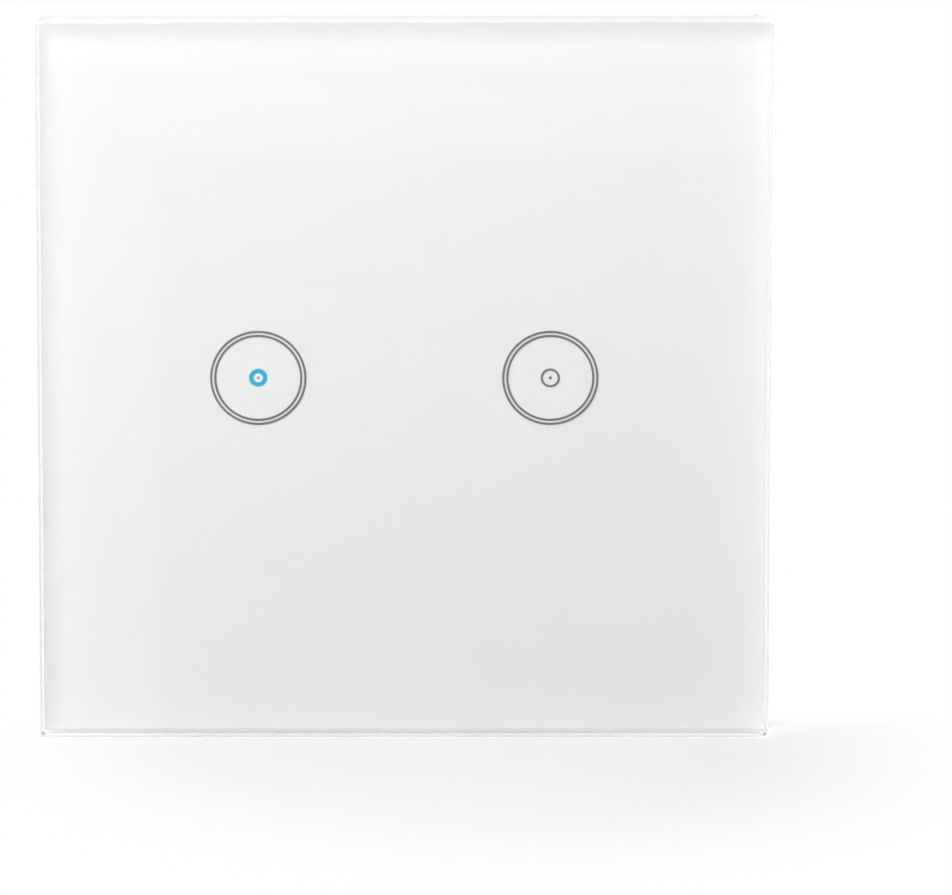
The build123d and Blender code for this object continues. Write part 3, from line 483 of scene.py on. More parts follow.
def glassRows():  # (depth, inset) down the rounded front edge and round the back edge
    g = glass
    rows = []
    for step in range(g["edgeSteps"] + 1):
        angle = math.radians(90 * step / g["edgeSteps"])
        rows.append((g["front"] + g["frontEdge"] * (1 - math.cos(angle)),
                     g["frontEdge"] * (1 - math.sin(angle))))
    for step in range(g["edgeSteps"] + 1):
        angle = math.radians(90 * step / g["edgeSteps"])
        rows.append((g["back"] - g["backEdge"] * (1 - math.sin(angle)),
                     g["backEdge"] * (1 - math.cos(angle))))
    return rows


# the glass reaches 0.03 mm past the print's face, as the print is bonded to it with no air between
def buildGlass():
    g = glass
    loops = []
    for depth, inset in glassRows():
        half, radius = g["half"] - inset, max(g["corner"] - inset * g["cornerShrink"], g["leastCorner"])
        loops.append([(x, depth, z) for x, z in roundedOutline(half, radius, g["cornerSteps"])])
    verts = [point for loop in loops for point in loop]
    count = len(loops[0])
    faces = []
    for layer in range(len(loops) - 1):
        for i in range(count):
            j = (i + 1) % count
            a, b = layer * count, (layer + 1) * count
            faces.append((a + i, a + j, b + j, b + i))
    faces.append(tuple(reversed(range(count))))
    faces.append(tuple(range((len(loops) - 1) * count, len(loops) * count)))
    piece = addPiece("glassPanel", verts, faces, "front_panel", [glassFinish()],
                     ["glass_panel"])
    for face in piece.data.polygons:  # the rounded edges must not bend the flat faces
        if face.area > g["bigFace"] * mm * mm:
            face.use_smooth = False


marks = dict(half=17.15, outer=5.53, inner=5.05, stroke=0.27, ring=1.0, ringStroke=0.28, dot=0.19,
             litDot=0.25, front=-6.55, back=-6.515, steps=160, dotSteps=24, ink=(0.120, 0.116, 0.114),
             warmInk=(0.44, 0.38, 0.29))


def bandLoop(verts, faces, x, inner, outer, front, back, steps):
    start = len(verts)
    for radius in (inner, outer):
        for depth in (front, back):
            verts += ring(x, 0.0, radius, depth, steps)
    inFront, inBack, outFront, outBack = [start + k * steps for k in range(4)]
    for i in range(steps):
        j = (i + 1) % steps
        faces.append((inFront + i, outFront + i, outFront + j, inFront + j))
        faces.append((inBack + j, outBack + j, outBack + i, inBack + i))
        faces.append((outFront + i, outBack + i, outBack + j, outFront + j))
        faces.append((inFront + j, inBack + j, inBack + i, inFront + i))


def dotLoop(verts, faces, x, radius, front, back, steps):
    start = len(verts)
    verts += ring(x, 0.0, radius, front, steps) + ring(x, 0.0, radius, back, steps)
    faces.append(tuple(range(start, start + steps)))
    faces.append(tuple(reversed(range(start + steps, start + 2 * steps))))
    for i in range(steps):
        j = (i + 1) % steps
        faces.append((start + j, start + i, start + steps + i, start + steps + j))


def buildMarks():
    m = marks
    ink = inkFinish("greyInk", m["ink"])
    litDotInk = inkFinish("warmInk", m["warmInk"])
    for side, name in ((-1, "Left"), (1, "Right")):
        x = side * m["half"]
        verts, faces = [], []
        rings = [(m["outer"], m["stroke"]), (m["inner"], m["stroke"])]
        if side > 0:
            rings.append((m["ring"], m["ringStroke"]))
        for radius, stroke in rings:
            bandLoop(verts, faces, x, radius - stroke / 2, radius + stroke / 2, m["front"], m["back"],
                     m["steps"])
        addPiece("touchMark" + name, verts, faces, "front_panel", [ink], smooth=False)
        verts, faces = [], []
        # painted light: the lit lamp's dot is paler and warm, as the lamp behind it shines through the same
        # grey ink
        radius, finish = (m["dot"], ink) if side > 0 else (m["litDot"], litDotInk)
        dotLoop(verts, faces, x, radius, m["front"], m["back"], m["dotSteps"])
        addPiece("markDot" + name, verts, faces, "front_panel", [finish], smooth=False)


printed = dict(dark=(0.538, 0.541, 0.542), pale=(0.552, 0.555, 0.556), milk=(0.565, 0.565, 0.56), edge=0.03,
               glow=(0.020, 0.015, 0.008), glowReach=2.4)
lit = dict(core=(0.80, 0.86, 0.90), blue=(0.001, 0.31, 0.51), rim=(0.10, 0.50, 0.68), coreReach=0.36,
           blueFrom=0.62, blueTo=0.93, reach=1.1, share=0.5)


def fromLamp(f, side):  # distance from a lamp's middle, in millimetres, over the face
    x, z = f.axes(f.place())[::2]
    across = x - side * marks["half"]
    return (across * across + z * z).root()


def printFinish():  # written darker than it shows: light kept inside the glass comes back to the print
    f = Finish("whitePrint")
    grain = f.noise(f.place(), 0.9, 3.0)
    base = f.blend(grain, rgb(*printed["dark"]), rgb(*printed["pale"]))
    # painted light: near the left lamp the print gives off a faint warm glow, standing in for the lamp's
    # spill on it
    far = fromLamp(f, -1).steps(lit["reach"], printed["glowReach"])
    glow = f.blend(far, rgb(*printed["glow"]), rgb(0.0, 0.0, 0.0))
    return f.close(f.surface(Base_Color=base, Roughness=0.45 + (grain - 0.5) * 0.08,
                             Emission_Color=glow, Emission_Strength=1.0))


def litWindowFinish():  # milky window with the blue lamp burning behind it; the lamp's light is painted on as the window's own glow and as half of its colour
    f = Finish("litWindow")
    reach = lit["reach"]
    color = f.ramp(
        fromLamp(f, -1) / reach, (0.0, rgb(*lit["core"])), (lit["coreReach"] / reach, rgb(*lit["core"])),
        (lit["blueFrom"] / reach, rgb(*lit["blue"])), (lit["blueTo"] / reach, rgb(*lit["blue"])),
        (1.0, rgb(*lit["rim"])),
    )
    glow = f.blend(lit["share"], rgb(0.0, 0.0, 0.0), color)
    base = f.blend(1 - lit["share"], rgb(0.0, 0.0, 0.0), color)
    return f.close(f.surface(Base_Color=base, Roughness=0.35, Emission_Color=glow, Emission_Strength=1.0))


def buildPrint():
    edge = printed["edge"]
    softCopy("back_print", edge, [printFinish()], steps=1)
    softCopy("light_window_left", edge, [litWindowFinish()], steps=1)
    softCopy("light_window_right", edge, [inkFinish("milkWindow", printed["milk"], 0.35, 1.4)], steps=1)


buildGlass()
buildMarks()
buildPrint()
print("glass and print made")


# the frame behind the glass

frameFacts = dict(edge=0.18, color=(0.69, 0.695, 0.69), tapeEdge=0.07, tapeColor=(0.74, 0.74, 0.72),
                  tapeCell=4.5)


def buildFrame():
    m = frameFacts
    softCopy("panel_frame", m["edge"], [plasticFinish("frameMoulding", m["color"], 0.4)])
    softCopy("panel_tape", m["tapeEdge"], [foamFinish("foamTape", m["tapeColor"], m["tapeCell"])])


buildFrame()
print("frame made")


# the steel plate and the tray

plateFacts = dict(edge=0.12, pale=(0.70, 0.71, 0.725), dark=(0.52, 0.53, 0.55))
trayFacts = dict(edge=0.2, color=(0.69, 0.695, 0.695))


def buildPlateAndTray():
    p, t = plateFacts, trayFacts
    softCopy("support_plate", p["edge"], [zincFinish("zincPlate", p["pale"], p["dark"])])
    softCopy("touch_tray", t["edge"], [plasticFinish("trayMoulding", t["color"], 0.45, 0.03)])


buildPlateAndTray()
print("plate and tray made")


# touch electronics

touchFacts = dict(board=(0.70, 0.71, 0.69), bare=(0.665, 0.675, 0.65), runs=0.42, boardEdge=0.05,
                  body=(0.03, 0.031, 0.033), ceramic=(0.42, 0.30, 0.19), chipHalfWide=1.95, pinReach=1.0,
                  chipFrom=16.0, slack=0.01, foam=(0.035, 0.035, 0.037), foamCell=4.0, shroudEdge=0.16)
lampFacts = dict(body=(0.80, 0.79, 0.74), edge=0.06, blue=(0.25, 0.55, 0.85), blueGlow=(0.05, 0.42, 1.0),
                 strength=3.0, pale=(0.80, 0.78, 0.60))
plugFacts = dict(body=(0.03, 0.03, 0.032), gold=(0.85, 0.66, 0.30), edge=0.08, headerPins=(0.0, 2.38),
                 socketPins=(0.0, 0.0))
radioFacts = dict(bare=(0.012, 0.05, 0.035), covered=(0.02, 0.10, 0.06), runs=0.5, edge=0.04,
                  can=(0.72, 0.73, 0.74), canEdge=0.22)
tinned = metalFinish("tinnedLead", (0.74, 0.74, 0.72), rough=0.25)
chipBlack = plasticFinish("chipMoulding", touchFacts["body"], rough=0.5, grain=0.03)


def chipMiddle():  # the height of the touch chip, the highest of the small parts on its board
    return boxOf("touch_chips")[1].z - touchFacts["chipHalfWide"] - touchFacts["pinReach"]


def pickTouchChips(middle, normal):
    t = touchFacts
    if middle.z > t["chipFrom"]:
        return 1 if abs(middle.z - chipMiddle()) > t["chipHalfWide"] + t["slack"] else 0
    return 3 if abs(normal.x) > 0.5 else 2


def pickPowerChip(middle, normal):
    low, high = boxOf("power_chip")
    center = (low.z + high.z) / 2
    return 1 if abs(middle.z - center) > touchFacts["chipHalfWide"] + touchFacts["slack"] else 0


def lampFinish(name, color, glow, strength):
    f = Finish(name)
    tone = f.noise(f.place(), 2.2, 2.0)
    base = f.blend(tone, darker(color, 0.08), rgb(*color))
    return f.close(f.surface(Base_Color=base, Roughness=0.25 + (tone - 0.5) * 0.1,
                             Emission_Color=rgb(*glow), Emission_Strength=strength))


def pickLamp(middle, normal):  # the window of each lamp looks forward, the left one lit
    if normal.y < -0.6:
        return 1 if middle.x < 0 else 2
    return 0


springSteel = metalFinish("springWire", (0.66, 0.665, 0.67), rough=0.2, along="Y")
springFacts = dict(wire=0.2, turns=2.5, wide=4.6, narrow=3.1, sides=12, perTurn=40, endShare=0.7)


def buildSpring(node, side):  # a cone of round wire, wide at the glass and narrow on the board
    s = springFacts
    low, high = boxOf(node)
    board, wide = high.y - s["wire"], low.y + s["wire"]
    count = round(s["turns"] * s["perTurn"])
    turn = 2 * math.pi / s["sides"]
    loops = []
    for step in range(count + 1):
        share = step / count
        angle = 2 * math.pi * s["turns"] * share
        radius = s["narrow"] + (s["wide"] - s["narrow"]) * share
        out = Vector((math.cos(angle), 0, math.sin(angle)))
        center = Vector((side * marks["half"], board + (wide - board) * share, 0)) + out * radius
        grow = s["wire"] * (1.0 if 0 < step < count else s["endShare"])
        loops.append([
            tuple(center + (out * math.cos(turn * i) + Vector((0, 1, 0)) * math.sin(turn * i)) * grow)
            for i in range(s["sides"])
        ])
    loopPiece(camel(node), loops, nodes[node]["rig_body"], [springSteel], [node])


trackFacts = dict(seat=3.75, seatWide=1.0, seatSteps=64, proud=0.03, wide=0.3, color=(0.80, 0.72, 0.50),
                  startFirst=0.3, startNext=0.4, startRise=0.8, turnAt=9.0, turnNext=1.6, slope=0.25,
                  endShift=2.0, endFirst=1.0, endNext=1.9, chipGap=3.4)


boxFaces = [(0, 2, 6, 4), (1, 5, 7, 3), (0, 4, 5, 1), (2, 3, 7, 6), (0, 1, 3, 2), (4, 6, 7, 5)]


def buildTracks():  # plated seats under the springs, and runs from them towards the touch chip
    t = trackFacts
    back = boxOf("touch_board")[0].y
    front = back - t["proud"]
    half, rise = t["wide"] / 2, chipMiddle() - t["chipGap"]
    verts, faces = [], []
    for side in (-1, 1):
        bandLoop(verts, faces, side * marks["half"], t["seat"] - t["seatWide"], t["seat"], front, back,
                 t["seatSteps"])
    for side in (-1, 1):
        for lane in range(2):
            startX = side * (marks["half"] - t["seat"] * (t["startFirst"] + t["startNext"] * lane))
            turnZ = t["turnAt"] + lane * t["turnNext"]
            endX = side * (t["endFirst"] + lane * t["endNext"]) + t["endShift"]
            bend = turnZ + abs(startX - endX) * t["slope"]
            path = [(startX, t["seat"] * t["startRise"]), (startX, turnZ), (endX, bend), (endX, rise)]
            for (ax, az), (bx, bz) in zip(path, path[1:]):
                run = Vector((bx - ax, 0, bz - az)).normalized()
                sideways = Vector((run.z, 0, -run.x)) * half
                k = len(verts)
                for px, pz in ((ax, az), (bx, bz)):
                    for way in (-1, 1):
                        for depth in (front, back):
                            verts.append((px + sideways.x * way, depth, pz + sideways.z * way))
                faces += [[k + i for i in corners] for corners in boxFaces]
    gold = metalFinish("paleGold", t["color"], rough=0.3)
    body = nodes["touch_board"]["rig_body"]
    addPiece("touchTracks", verts, faces, body, [gold], smooth=False)


def pickPins(node, pins):  # pins show past the front and the back of the moulded body
    low, high = boxOf(node)

    def pick(middle, normal):
        return 1 if middle.y < low.y + pins[0] or middle.y > high.y - pins[1] else 0
    return pick


def buildTouchElectronics():
    t, p, r = touchFacts, plugFacts, radioFacts
    board = boardFinish("whiteBoard", t["bare"], t["board"], t["runs"])
    softCopy("touch_board", t["boardEdge"], [board], steps=1)
    ceramic = plasticFinish("chipCeramic", t["ceramic"], rough=0.5, grain=0.02)
    softCopy("touch_chips", t["boardEdge"], [chipBlack, tinned, ceramic, tinned], pickTouchChips, steps=1)
    lampFinishes = [
        plasticFinish("lampBody", lampFacts["body"], rough=0.35),
        lampFinish("blueLamp", lampFacts["blue"], lampFacts["blueGlow"], lampFacts["strength"]),
        lampFinish("darkLamp", lampFacts["pale"], (0.0, 0.0, 0.0), 0.0),
    ]
    softCopy("status_leds", lampFacts["edge"], lampFinishes, pickLamp)
    shroud = foamFinish("blackFoam", t["foam"], t["foamCell"])
    for side, name in ((-1, "left"), (1, "right")):
        softCopy("light_shroud_" + name, t["shroudEdge"], [shroud], steps=3)
        buildSpring("touch_spring_" + name, side)
    buildTracks()
    plug = plasticFinish("plugMoulding", p["body"], rough=0.45)
    gold = metalFinish("goldPin", p["gold"], rough=0.22, along="Y")
    softCopy("board_header", p["edge"], [plug, gold], pickPins("board_header", p["headerPins"]))
    softCopy("board_socket", p["edge"], [plug, gold], pickPins("board_socket", p["socketPins"]))
    radioBoard = boardFinish("radioBoard", r["bare"], r["covered"], r["runs"])
    softCopy("wifi_board", r["edge"], [radioBoard], steps=1)
    softCopy("wifi_shield", r["canEdge"], [metalFinish("tinnedCan", r["can"], rough=0.22)], steps=3)


buildTouchElectronics()
print("touch electronics made")


# rear housing and its screws

housingFacts = dict(edge=0.3, color=(0.66, 0.67, 0.675), screwEdge=0.12, headRadius=2.2, headTall=1.5,
                    shank=1.0, root=0.78, pitch=0.9, tip=0.1, runout=0.3, slack=0.02)
screwZinc = metalFinish("zincScrew", (0.64, 0.65, 0.66), rough=0.26)


def shrinkShank(places, shank, root, seat):  # leaves room for the thread that stands on the shank
    slack = housingFacts["slack"]

    def shape(work):
        for vert in work.verts:
            for x, z in places:
                out = Vector((vert.co.x / mm - x, 0, vert.co.z / mm - z))
                if out.length < shank + slack and vert.co.y / mm < seat - slack / 2:
                    vert.co.x = (x + out.x / shank * root) * mm
                    vert.co.z = (z + out.z / shank * root) * mm
    return shape


def addThreads(places, front, back, root, crest, pitch):
    def extra(work):
        for x, z in places:
            made = addLoops(work, threadLoops(x, z, front, back, root, crest, pitch))
            bmesh.ops.recalc_face_normals(work, faces=made)
    return extra


def buildHousing():
    h = housingFacts
    moulding = plasticFinish("housingMoulding", h["color"], 0.46, 0.035, 2.0)
    softCopy("rear_housing", h["edge"], [moulding], steps=3)
    low, high = boxOf("housing_screws")
    reach = high.x - h["headRadius"]
    places = [(-reach, reach), (reach, -reach)]
    seat = high.y - h["headTall"]
    threads = addThreads(places, low.y + h["tip"], seat - h["runout"], h["root"], h["shank"] - h["slack"],
                         h["pitch"])
    softCopy("housing_screws", h["screwEdge"], [screwZinc],
             shape=shrinkShank(places, h["shank"], h["root"], seat), extra=threads)


buildHousing()
print("housing made")


# terminals

terminalFacts = dict(poles=4, pitch=7.0, blockEdge=0.12, block=(0.60, 0.61, 0.62), brass=(0.78, 0.58, 0.28),
                     cage=(0.58, 0.57, 0.54), slot=(0.40, 0.40, 0.40), slotDeep=0.92, slotHalf=0.41,
                     slotZ=-17.6, headEdge=0.14, headTall=1.7, shank=1.25, root=1.02, thread=0.5, tip=0.08,
                     runout=0.2, slack=0.02, cageEdge=0.14, bladeEdge=0.04)


def pickSlot(screwHigh):  # painted shade: the driver slot's walls are a little darker than the head
    t = terminalFacts

    def pick(middle, normal):
        deep = middle.y > screwHigh - t["slotDeep"] and abs(middle.z - t["slotZ"]) < t["slotHalf"]
        return 1 if abs(normal.y) < 0.5 and deep else 0
    return pick


def buildTerminals():
    t = terminalFacts
    softCopy("terminal_block", t["blockEdge"], [plasticFinish("blockMoulding", t["block"], 0.4, 0.03)])
    brass = metalFinish("rolledBrass", t["brass"], rough=0.28)
    softCopy("terminal_blades", t["bladeEdge"], [brass], steps=1)
    cage = metalFinish("cageSteel", t["cage"], rough=0.3, along="Z")
    # painted shade for the walls of the driver slot
    slotPaintedShade = metalFinish("slotShade", t["slot"], rough=0.42)
    for index in range(t["poles"]):
        number = str(index + 1)
        x = (index - (t["poles"] - 1) / 2) * t["pitch"]
        softCopy("terminal_cage_" + number, t["cageEdge"], [cage])
        low, high = boxOf("terminal_screw_" + number)
        places = [(x, (low.z + high.z) / 2)]
        seat = high.y - t["headTall"]
        threads = addThreads(places, low.y + t["tip"], seat - t["runout"], t["root"],
                             t["shank"] - t["slack"], t["thread"])
        softCopy("terminal_screw_" + number, t["headEdge"], [screwZinc, slotPaintedShade], pickSlot(high.y),
                 shape=shrinkShank(places, t["shank"], t["root"], seat), extra=threads)


buildTerminals()
print("terminals made")


# relays

relayFacts = dict(caseEdge=0.2, case=(0.022, 0.023, 0.026), base=(0.62, 0.58, 0.47), baseEdge=0.1,
                  iron=(0.50, 0.50, 0.51), yokeEdge=0.12, bobbin=(0.70, 0.69, 0.62), bobbinEdge=0.1,
                  flange=0.6, head=0.5, copper=(0.70, 0.27, 0.11), wound=3.28, dip=0.09, corner=1.3,
                  cornerSteps=5, turns=24, perTurn=3, spring=(0.80, 0.52, 0.28), springEdge=0.05,
                  springDeep=0.27, silver=(0.86, 0.86, 0.84), buttonReach=1.75, buttonDeep=0.3,
                  contactDeep=0.29)


def windingLoops(x, z, front, back):  # the skin swells and dips once for each turn
    r = relayFacts
    rows = r["turns"] * r["perTurn"]
    loops = []
    for row in range(rows + 1):
        depth = front + (back - front) * row / rows
        swell = abs(math.sin(math.pi * row / r["perTurn"]))
        outline = roundedOutline(r["wound"] - r["dip"] * (1 - swell), r["corner"], r["cornerSteps"], x, z)
        loops.append([(px, depth, pz) for px, pz in outline])
    return loops


def pickAbove(depth):  # the second finish from this depth on
    def pick(middle, normal):
        return 1 if middle.y > depth else 0
    return pick


def pickArmature(high):  # iron, then the contact spring, then the silver button under its end
    r = relayFacts

    def pick(middle, normal):
        if middle.x > high.x - r["buttonReach"] and middle.y < high.y - r["buttonDeep"]:
            return 2
        return 1 if middle.y > high.y - r["springDeep"] else 0
    return pick


def buildRelays():
    r = relayFacts
    case = plasticFinish("relayCase", r["case"], 0.3, 0.02)
    base = plasticFinish("relayBase", r["base"], 0.5, 0.03)
    iron = metalFinish("softIron", r["iron"], rough=0.36, along="Y")
    bobbin = plasticFinish("bobbin", r["bobbin"], 0.45)
    copper = wireFinish("copperWire", r["copper"])
    springBrass = metalFinish("contactSpring", r["spring"], rough=0.25)
    silver = metalFinish("silverButton", r["silver"], rough=0.2)
    for number in ("1", "2"):
        stem = "relay_" + number + "_"
        softCopy(stem + "case", r["caseEdge"], [case], steps=3)
        softCopy(stem + "base", r["baseEdge"], [base])
        softCopy(stem + "yoke", r["yokeEdge"], [iron])
        low, high = boxOf(stem + "coil")
        top = high.y - r["head"]
        softCopy(stem + "coil", r["bobbinEdge"], [bobbin, iron], pickAbove(top - meshFacts["join"]),
                 name="relay" + number + "Bobbin")
        x, z = (low.x + high.x) / 2, (low.z + high.z) / 2
        loops = windingLoops(x, z, low.y + r["flange"], top - r["flange"])
        loopPiece("relay" + number + "Winding", loops, "chassis", [copper], [stem + "coil"])
        softCopy(stem + "armature", r["springEdge"], [iron, springBrass, silver],
                 pickArmature(boxOf(stem + "armature")[1]), steps=1)
        softCopy(stem + "contacts", r["springEdge"], [springBrass, silver],
                 pickAbove(boxOf(stem + "contacts")[1].y - r["contactDeep"]), steps=1)


buildRelays()
print("relays made")


# power supply

supplyFacts = dict(bare=(0.02, 0.11, 0.06), covered=(0.03, 0.20, 0.10), runs=0.3, boardEdge=0.06,
                   chipEdge=0.05, ferrite=(0.055, 0.053, 0.052), coreEdge=0.22, tape=(0.80, 0.62, 0.06),
                   bobbin=(0.03, 0.03, 0.03), windingEdge=0.12, cheekFront=3.7, cheekBack=0.61,
                   film=(0.78, 0.62, 0.08), filmEdge=0.2, disc=(0.03, 0.10, 0.36), discRadius=4.5,
                   discEdge=1.0, rimSlack=0.05, discSlack=0.03)
canFacts = dict(sleeve=(0.022, 0.026, 0.045), stripe=(0.62, 0.64, 0.66), tops=(0.72, 0.72, 0.73),
                largeRadius=4.0, smallRadius=3.15, smallDrop=2.0, steps=48, topShare=0.9, topDeep=0.3,
                stripeTurn=150, stripeHalf=22)
fuseFacts = dict(lacquer=(0.42, 0.50, 0.44), edge=0.12, radius=1.7, legOut=1.4, endSlack=0.01,
                 sideSlack=0.02)
# each band's place along the body, width and colour
fuseBands = [(0.18, 0.7, (0.35, 0.14, 0.04)), (0.34, 0.7, (0.02, 0.02, 0.02)),
             (0.50, 0.7, (0.02, 0.02, 0.02)), (0.78, 0.7, (0.55, 0.38, 0.10))]


def canProfile(radius, front, back):  # bung, crimp groove, sleeve and its rolled lip, then the bare top
    r = radius
    return [
        (front, r * 0.72), (front, r * 0.93), (front + 0.25, r * 0.99), (front + 0.9, r),
        (front + 1.3, r * 0.99), (front + 1.7, r * 0.93), (front + 2.0, r * 0.925), (front + 2.3, r * 0.93),
        (front + 2.7, r * 0.99), (front + 3.1, r), (back - 0.5, r), (back - 0.18, r * 0.985),
        (back, r * 0.94), (back, r * 0.87), (back - 0.12, r * 0.85), (back - 0.12, r * 0.3),
    ]


def canLoops(x, z, radius, front, back):
    return [ring(x, z, reach, depth, canFacts["steps"]) for depth, reach in canProfile(radius, front, back)]


def buildCans():
    c = canFacts
    low, high = boxOf("bulk_capacitors")
    sleeve = plasticFinish("canSleeve", c["sleeve"], 0.25, 0.01)
    stripe = plasticFinish("canStripe", c["stripe"], 0.3, 0.01)
    top = metalFinish("canTop", c["tops"], rough=0.24)
    large, small = c["largeRadius"], c["smallRadius"]
    cans = [
        ("largeCan", low.x + large, low.z + large, large, high.y),
        ("smallCan", high.x - small, low.z + small, small, high.y - c["smallDrop"]),
    ]
    for name, x, z, radius, back in cans:
        piece = loopPiece(name, canLoops(x, z, radius, low.y, back), "chassis",
                          [sleeve, stripe, top], ["bulk_capacitors"])
        for face in piece.data.polygons:
            middle = face.center / mm
            out = math.hypot(middle.x - x, middle.z - z)
            turn = math.degrees(math.atan2(middle.z - z, middle.x - x))
            if out < radius * c["topShare"] and middle.y > back - c["topDeep"]:
                face.material_index = 2
            elif abs(turn - c["stripeTurn"]) < c["stripeHalf"] and out > radius * c["topShare"]:
                face.material_index = 1


def pickWinding(middle, normal):
    low, high = boxOf("transformer_winding")
    between = low.y + supplyFacts["cheekFront"] < middle.y < high.y - supplyFacts["cheekBack"]
    return 1 if between and abs(normal.y) < 0.5 else 0


def fromDisc(spot):  # distance from the varistor's axis, which lies along X
    low, high = boxOf("varistor")
    return math.hypot(spot.y - (high.y - supplyFacts["discRadius"]), spot.z - (low.z + high.z) / 2)


def discRim(edge):  # only the disc's rim is rounded, not its legs
    s = supplyFacts
    return all(abs(fromDisc(vert.co / mm) - s["discRadius"]) < s["rimSlack"] for vert in edge.verts)


def pickDiscLegs(middle, normal):  # legs lie outside the disc's round
    return 1 if fromDisc(middle) > supplyFacts["discRadius"] + supplyFacts["discSlack"] else 0


def pickFuseLegs(middle, normal):  # legs lie outside the body's round, which lies along Z
    g = fuseFacts
    low, high = boxOf("fuse_resistor")
    out = math.hypot(middle.x - (low.x + high.x) / 2, middle.y - (high.y - g["radius"]))
    ends = g["legOut"] - g["endSlack"]
    inside = low.z + ends < middle.z < high.z - ends
    return 0 if inside and out < g["radius"] + g["sideSlack"] else 1


def buildSupply():
    s, g = supplyFacts, fuseFacts
    board = boardFinish("greenBoard", s["bare"], s["covered"], s["runs"])
    softCopy("power_board", s["boardEdge"], [board], steps=1)
    softCopy("power_chip", s["chipEdge"], [chipBlack, tinned], pickPowerChip, steps=1)
    ferrite = plasticFinish("ferrite", s["ferrite"], 0.55, 0.05, 3.0, 0.3)
    softCopy("transformer_core", s["coreEdge"], [ferrite])
    bobbin = plasticFinish("blackBobbin", s["bobbin"], 0.4)
    tape = tapeFinish("windingTape", s["tape"])
    softCopy("transformer_winding", s["windingEdge"], [bobbin, tape], pickWinding)
    buildCans()
    softCopy("film_capacitor", s["filmEdge"], [plasticFinish("filmBox", s["film"], 0.36, 0.02)], steps=3)
    epoxy = plasticFinish("blueEpoxy", s["disc"], 0.28, 0.06, 0.8, 0.2)
    softCopy("varistor", s["discEdge"], [epoxy, tinned], pickDiscLegs, chosen=discRim, steps=5)
    low, high = boxOf("fuse_resistor")
    body = bandFinish("lacquer", g["lacquer"], fuseBands, low.z + g["legOut"], high.z - g["legOut"])
    softCopy("fuse_resistor", g["edge"], [body, tinned], pickFuseLegs)


buildSupply()
print("power supply made")


# floor, lights, room and camera

# pairs of millimetres are where a mask starts and ends, across x, along y or up the glass
stageFacts = dict(floorZ=-43.0, floorHalf=4000.0, color=(0.66, 0.665, 0.67), least=0.07,
                  middle=(8.0, -20.0), white=(26.0, 64.0), behind=(-12.0, 0.0), beside=(10.0, 43.0),
                  underFront=(-11.5, -11.2), underBack=(-3.0, -2.0), underShare=0.7,
                  bandLeft=(-31.0, -27.0), bandTop=(25.5, 29.5), rimLeft=(-41.0, -39.4),
                  rimTop=(33.8, 37.0), rimShare=0.8, cardFront=(-11.5, -10.5), cardEdge=(43.5, 50.0),
                  cardShade=0.5)


def paintedReflectionMask(x, y):  # a painted reflection: the floor darkens only for mirrored rays, in a shape whose mirror image frames the bright band on the glass
    s = stageFacts
    angle = math.radians(shot["drop"])
    far, eye = shot["distance"] * math.cos(angle), shot["distance"] * math.sin(angle)
    beyond = (y - glass["front"]) / -far
    stretch = beyond + 1.0
    faceX = x / stretch
    faceZ = (beyond * eye + s["floorZ"]) / stretch
    inner = faceX.steps(*s["bandLeft"]) * (1 - faceZ.steps(*s["bandTop"]))
    rim = 1 - faceX.steps(*s["rimLeft"]) * (1 - faceZ.steps(*s["rimTop"]))
    before = 1 - y.steps(*s["cardFront"])
    inside = (1 - faceX.size().steps(*s["cardEdge"])) * (1 - faceZ.steps(*s["cardEdge"]))
    return inner.most(rim * s["rimShare"]) * before * inside


def floorFinish():  # shaded near the switch and white further off, as the photo shows its table
    s = stageFacts
    f = Finish("paleFloor")
    x, y = f.axes(f.place())[:2]
    across, along = x - s["middle"][0], y - s["middle"][1]
    reach = (across * across + along * along).root()
    beside = y.steps(*s["behind"]) * x.size().steps(*s["beside"])
    white = reach.steps(*s["white"]).most(beside)
    diffuse = f.add("ShaderNodeBsdfDiffuse", None, {"Color": rgb(*s["color"])})
    glow = f.add("ShaderNodeEmission", None, {"Color": rgb(1, 1, 1), "Strength": 1.0})
    seen, mirrored, through = [f.add("ShaderNodeLightPath", out=number) for number in (0, 3, 6)]
    share = (s["least"] + (1 - s["least"]) * white) * seen.most(mirrored).most(through)
    under = y.steps(*s["underFront"]) * (1 - y.steps(*s["underBack"]))
    share = share.most(through * under * s["underShare"])  # painted light: the floor under the glass glows to rays through the glass, so the glass's lower edge shows pale over the shade there
    floor = f.add("ShaderNodeMixShader", None, {0: share, 1: diffuse, 2: glow})
    black = f.add("ShaderNodeEmission", None, {"Color": rgb(0, 0, 0), "Strength": 0.0})
    # painted reflection: only mirrored rays see this dark patch of floor
    paintedReflection = paintedReflectionMask(x, y) * mirrored * s["cardShade"]
    return f.close(f.add("ShaderNodeMixShader", None, {0: paintedReflection, 1: floor, 2: black}))


def buildFloor():
    half, z = stageFacts["floorHalf"] * mm, stageFacts["floorZ"] * mm
    mesh = bpy.data.meshes.new("floor")
    corners = [(-half, -half, z), (half, -half, z), (half, half, z), (-half, half, z)]
    mesh.from_pydata(corners, [], [(0, 1, 2, 3)])
    mesh.materials.append(floorFinish())
    floor = bpy.data.objects.new("floor", mesh)
    bpy.context.scene.collection.objects.link(floor)


lamps = dict(
    back=dict(place=(-0.20, 0.46, 0.98), width=0.8, power=3.9),
    front=dict(place=(-0.30, -0.50, 0.52), width=0.4, power=6.5),
)
room = dict(strength=0.5)


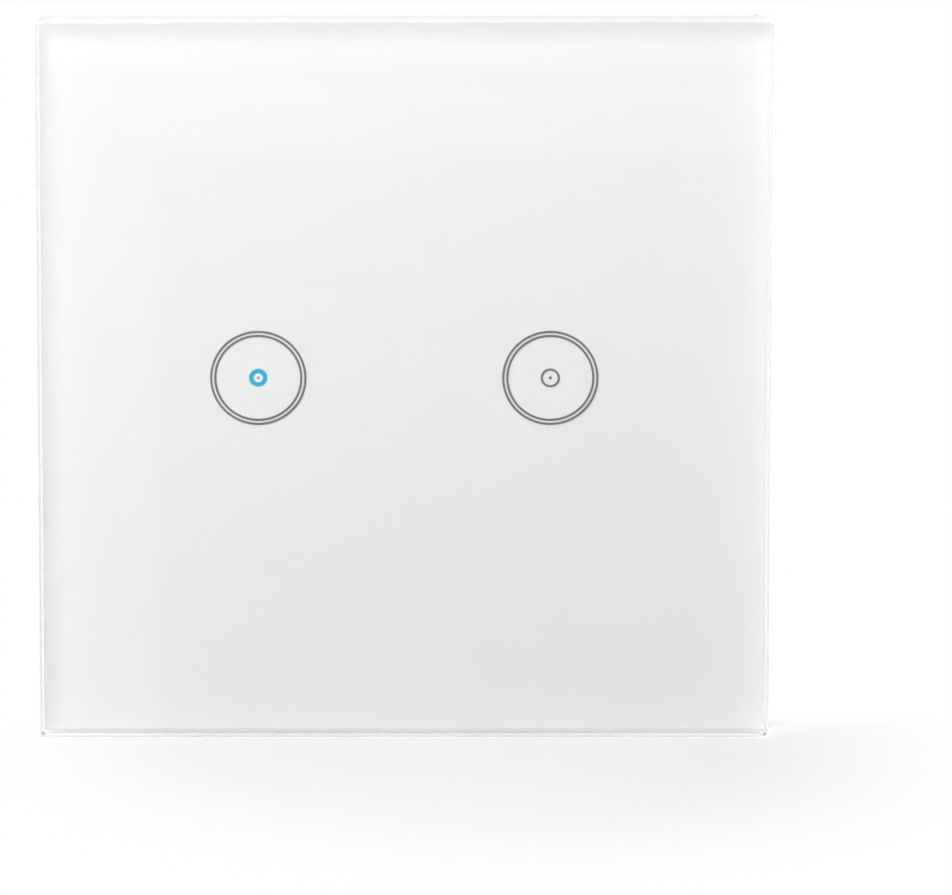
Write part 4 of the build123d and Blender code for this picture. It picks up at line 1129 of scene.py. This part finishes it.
def buildLights():
    for name, lamp in lamps.items():
        light = bpy.data.lights.new(name + "Light", "AREA")
        light.shape = "SQUARE"
        light.size = lamp["width"]
        light.energy = lamp["power"]
        holder = bpy.data.objects.new(name + "Light", light)
        holder.location = lamp["place"]
        holder.rotation_euler = (-Vector(lamp["place"])).to_track_quat("-Z", "Y").to_euler()
        bpy.context.scene.collection.objects.link(holder)


def buildRoom():  # white wherever the camera, a reflection or the glass shows it
    world = bpy.data.worlds.new("studio")
    world.use_nodes = True
    f = Finish("studioRoom")
    bpy.data.materials.remove(f.material)
    f.tree = world.node_tree
    f.tree.nodes.clear()
    rays = [f.add("ShaderNodeLightPath", out=number) for number in (0, 3, 6)]
    seen = rays[0].most(rays[1]).most(rays[2])
    plain = f.add("ShaderNodeBackground", None, {"Color": rgb(1, 1, 1), "Strength": room["strength"]})
    white = f.add("ShaderNodeBackground", None, {"Color": rgb(1, 1, 1), "Strength": 1.0})
    mix = f.add("ShaderNodeMixShader", None, {0: seen, 1: plain, 2: white})
    output = f.tree.nodes.new("ShaderNodeOutputWorld")
    f.tree.links.new(mix.socket, output.inputs["Surface"])
    bpy.context.scene.world = world
    bpy.context.scene.view_settings.view_transform = "Standard"


shot = dict(distance=1165.0, drop=12.6, lens=375.9, shiftX=0.0753, lookY=-10.5, shiftY=-0.0680, sensor=36.0,
            farthest=20.0)


def buildCamera():
    data = bpy.data.cameras.new("camera")
    data.sensor_width = shot["sensor"]
    data.lens = shot["lens"]
    data.shift_x = shot["shiftX"]
    data.shift_y = shot["shiftY"]
    data.clip_end = shot["farthest"]
    camera = bpy.data.objects.new("camera", data)
    angle = math.radians(shot["drop"])
    aim = Vector((0, shot["lookY"] * mm, 0))
    camera.location = aim + Vector((0, -math.cos(angle), math.sin(angle))) * shot["distance"] * mm
    camera.rotation_euler = (aim - camera.location).to_track_quat("-Z", "Y").to_euler()
    bpy.context.scene.collection.objects.link(camera)
    bpy.context.scene.camera = camera


buildFloor()
buildLights()
buildRoom()
buildCamera()
print("stage made")
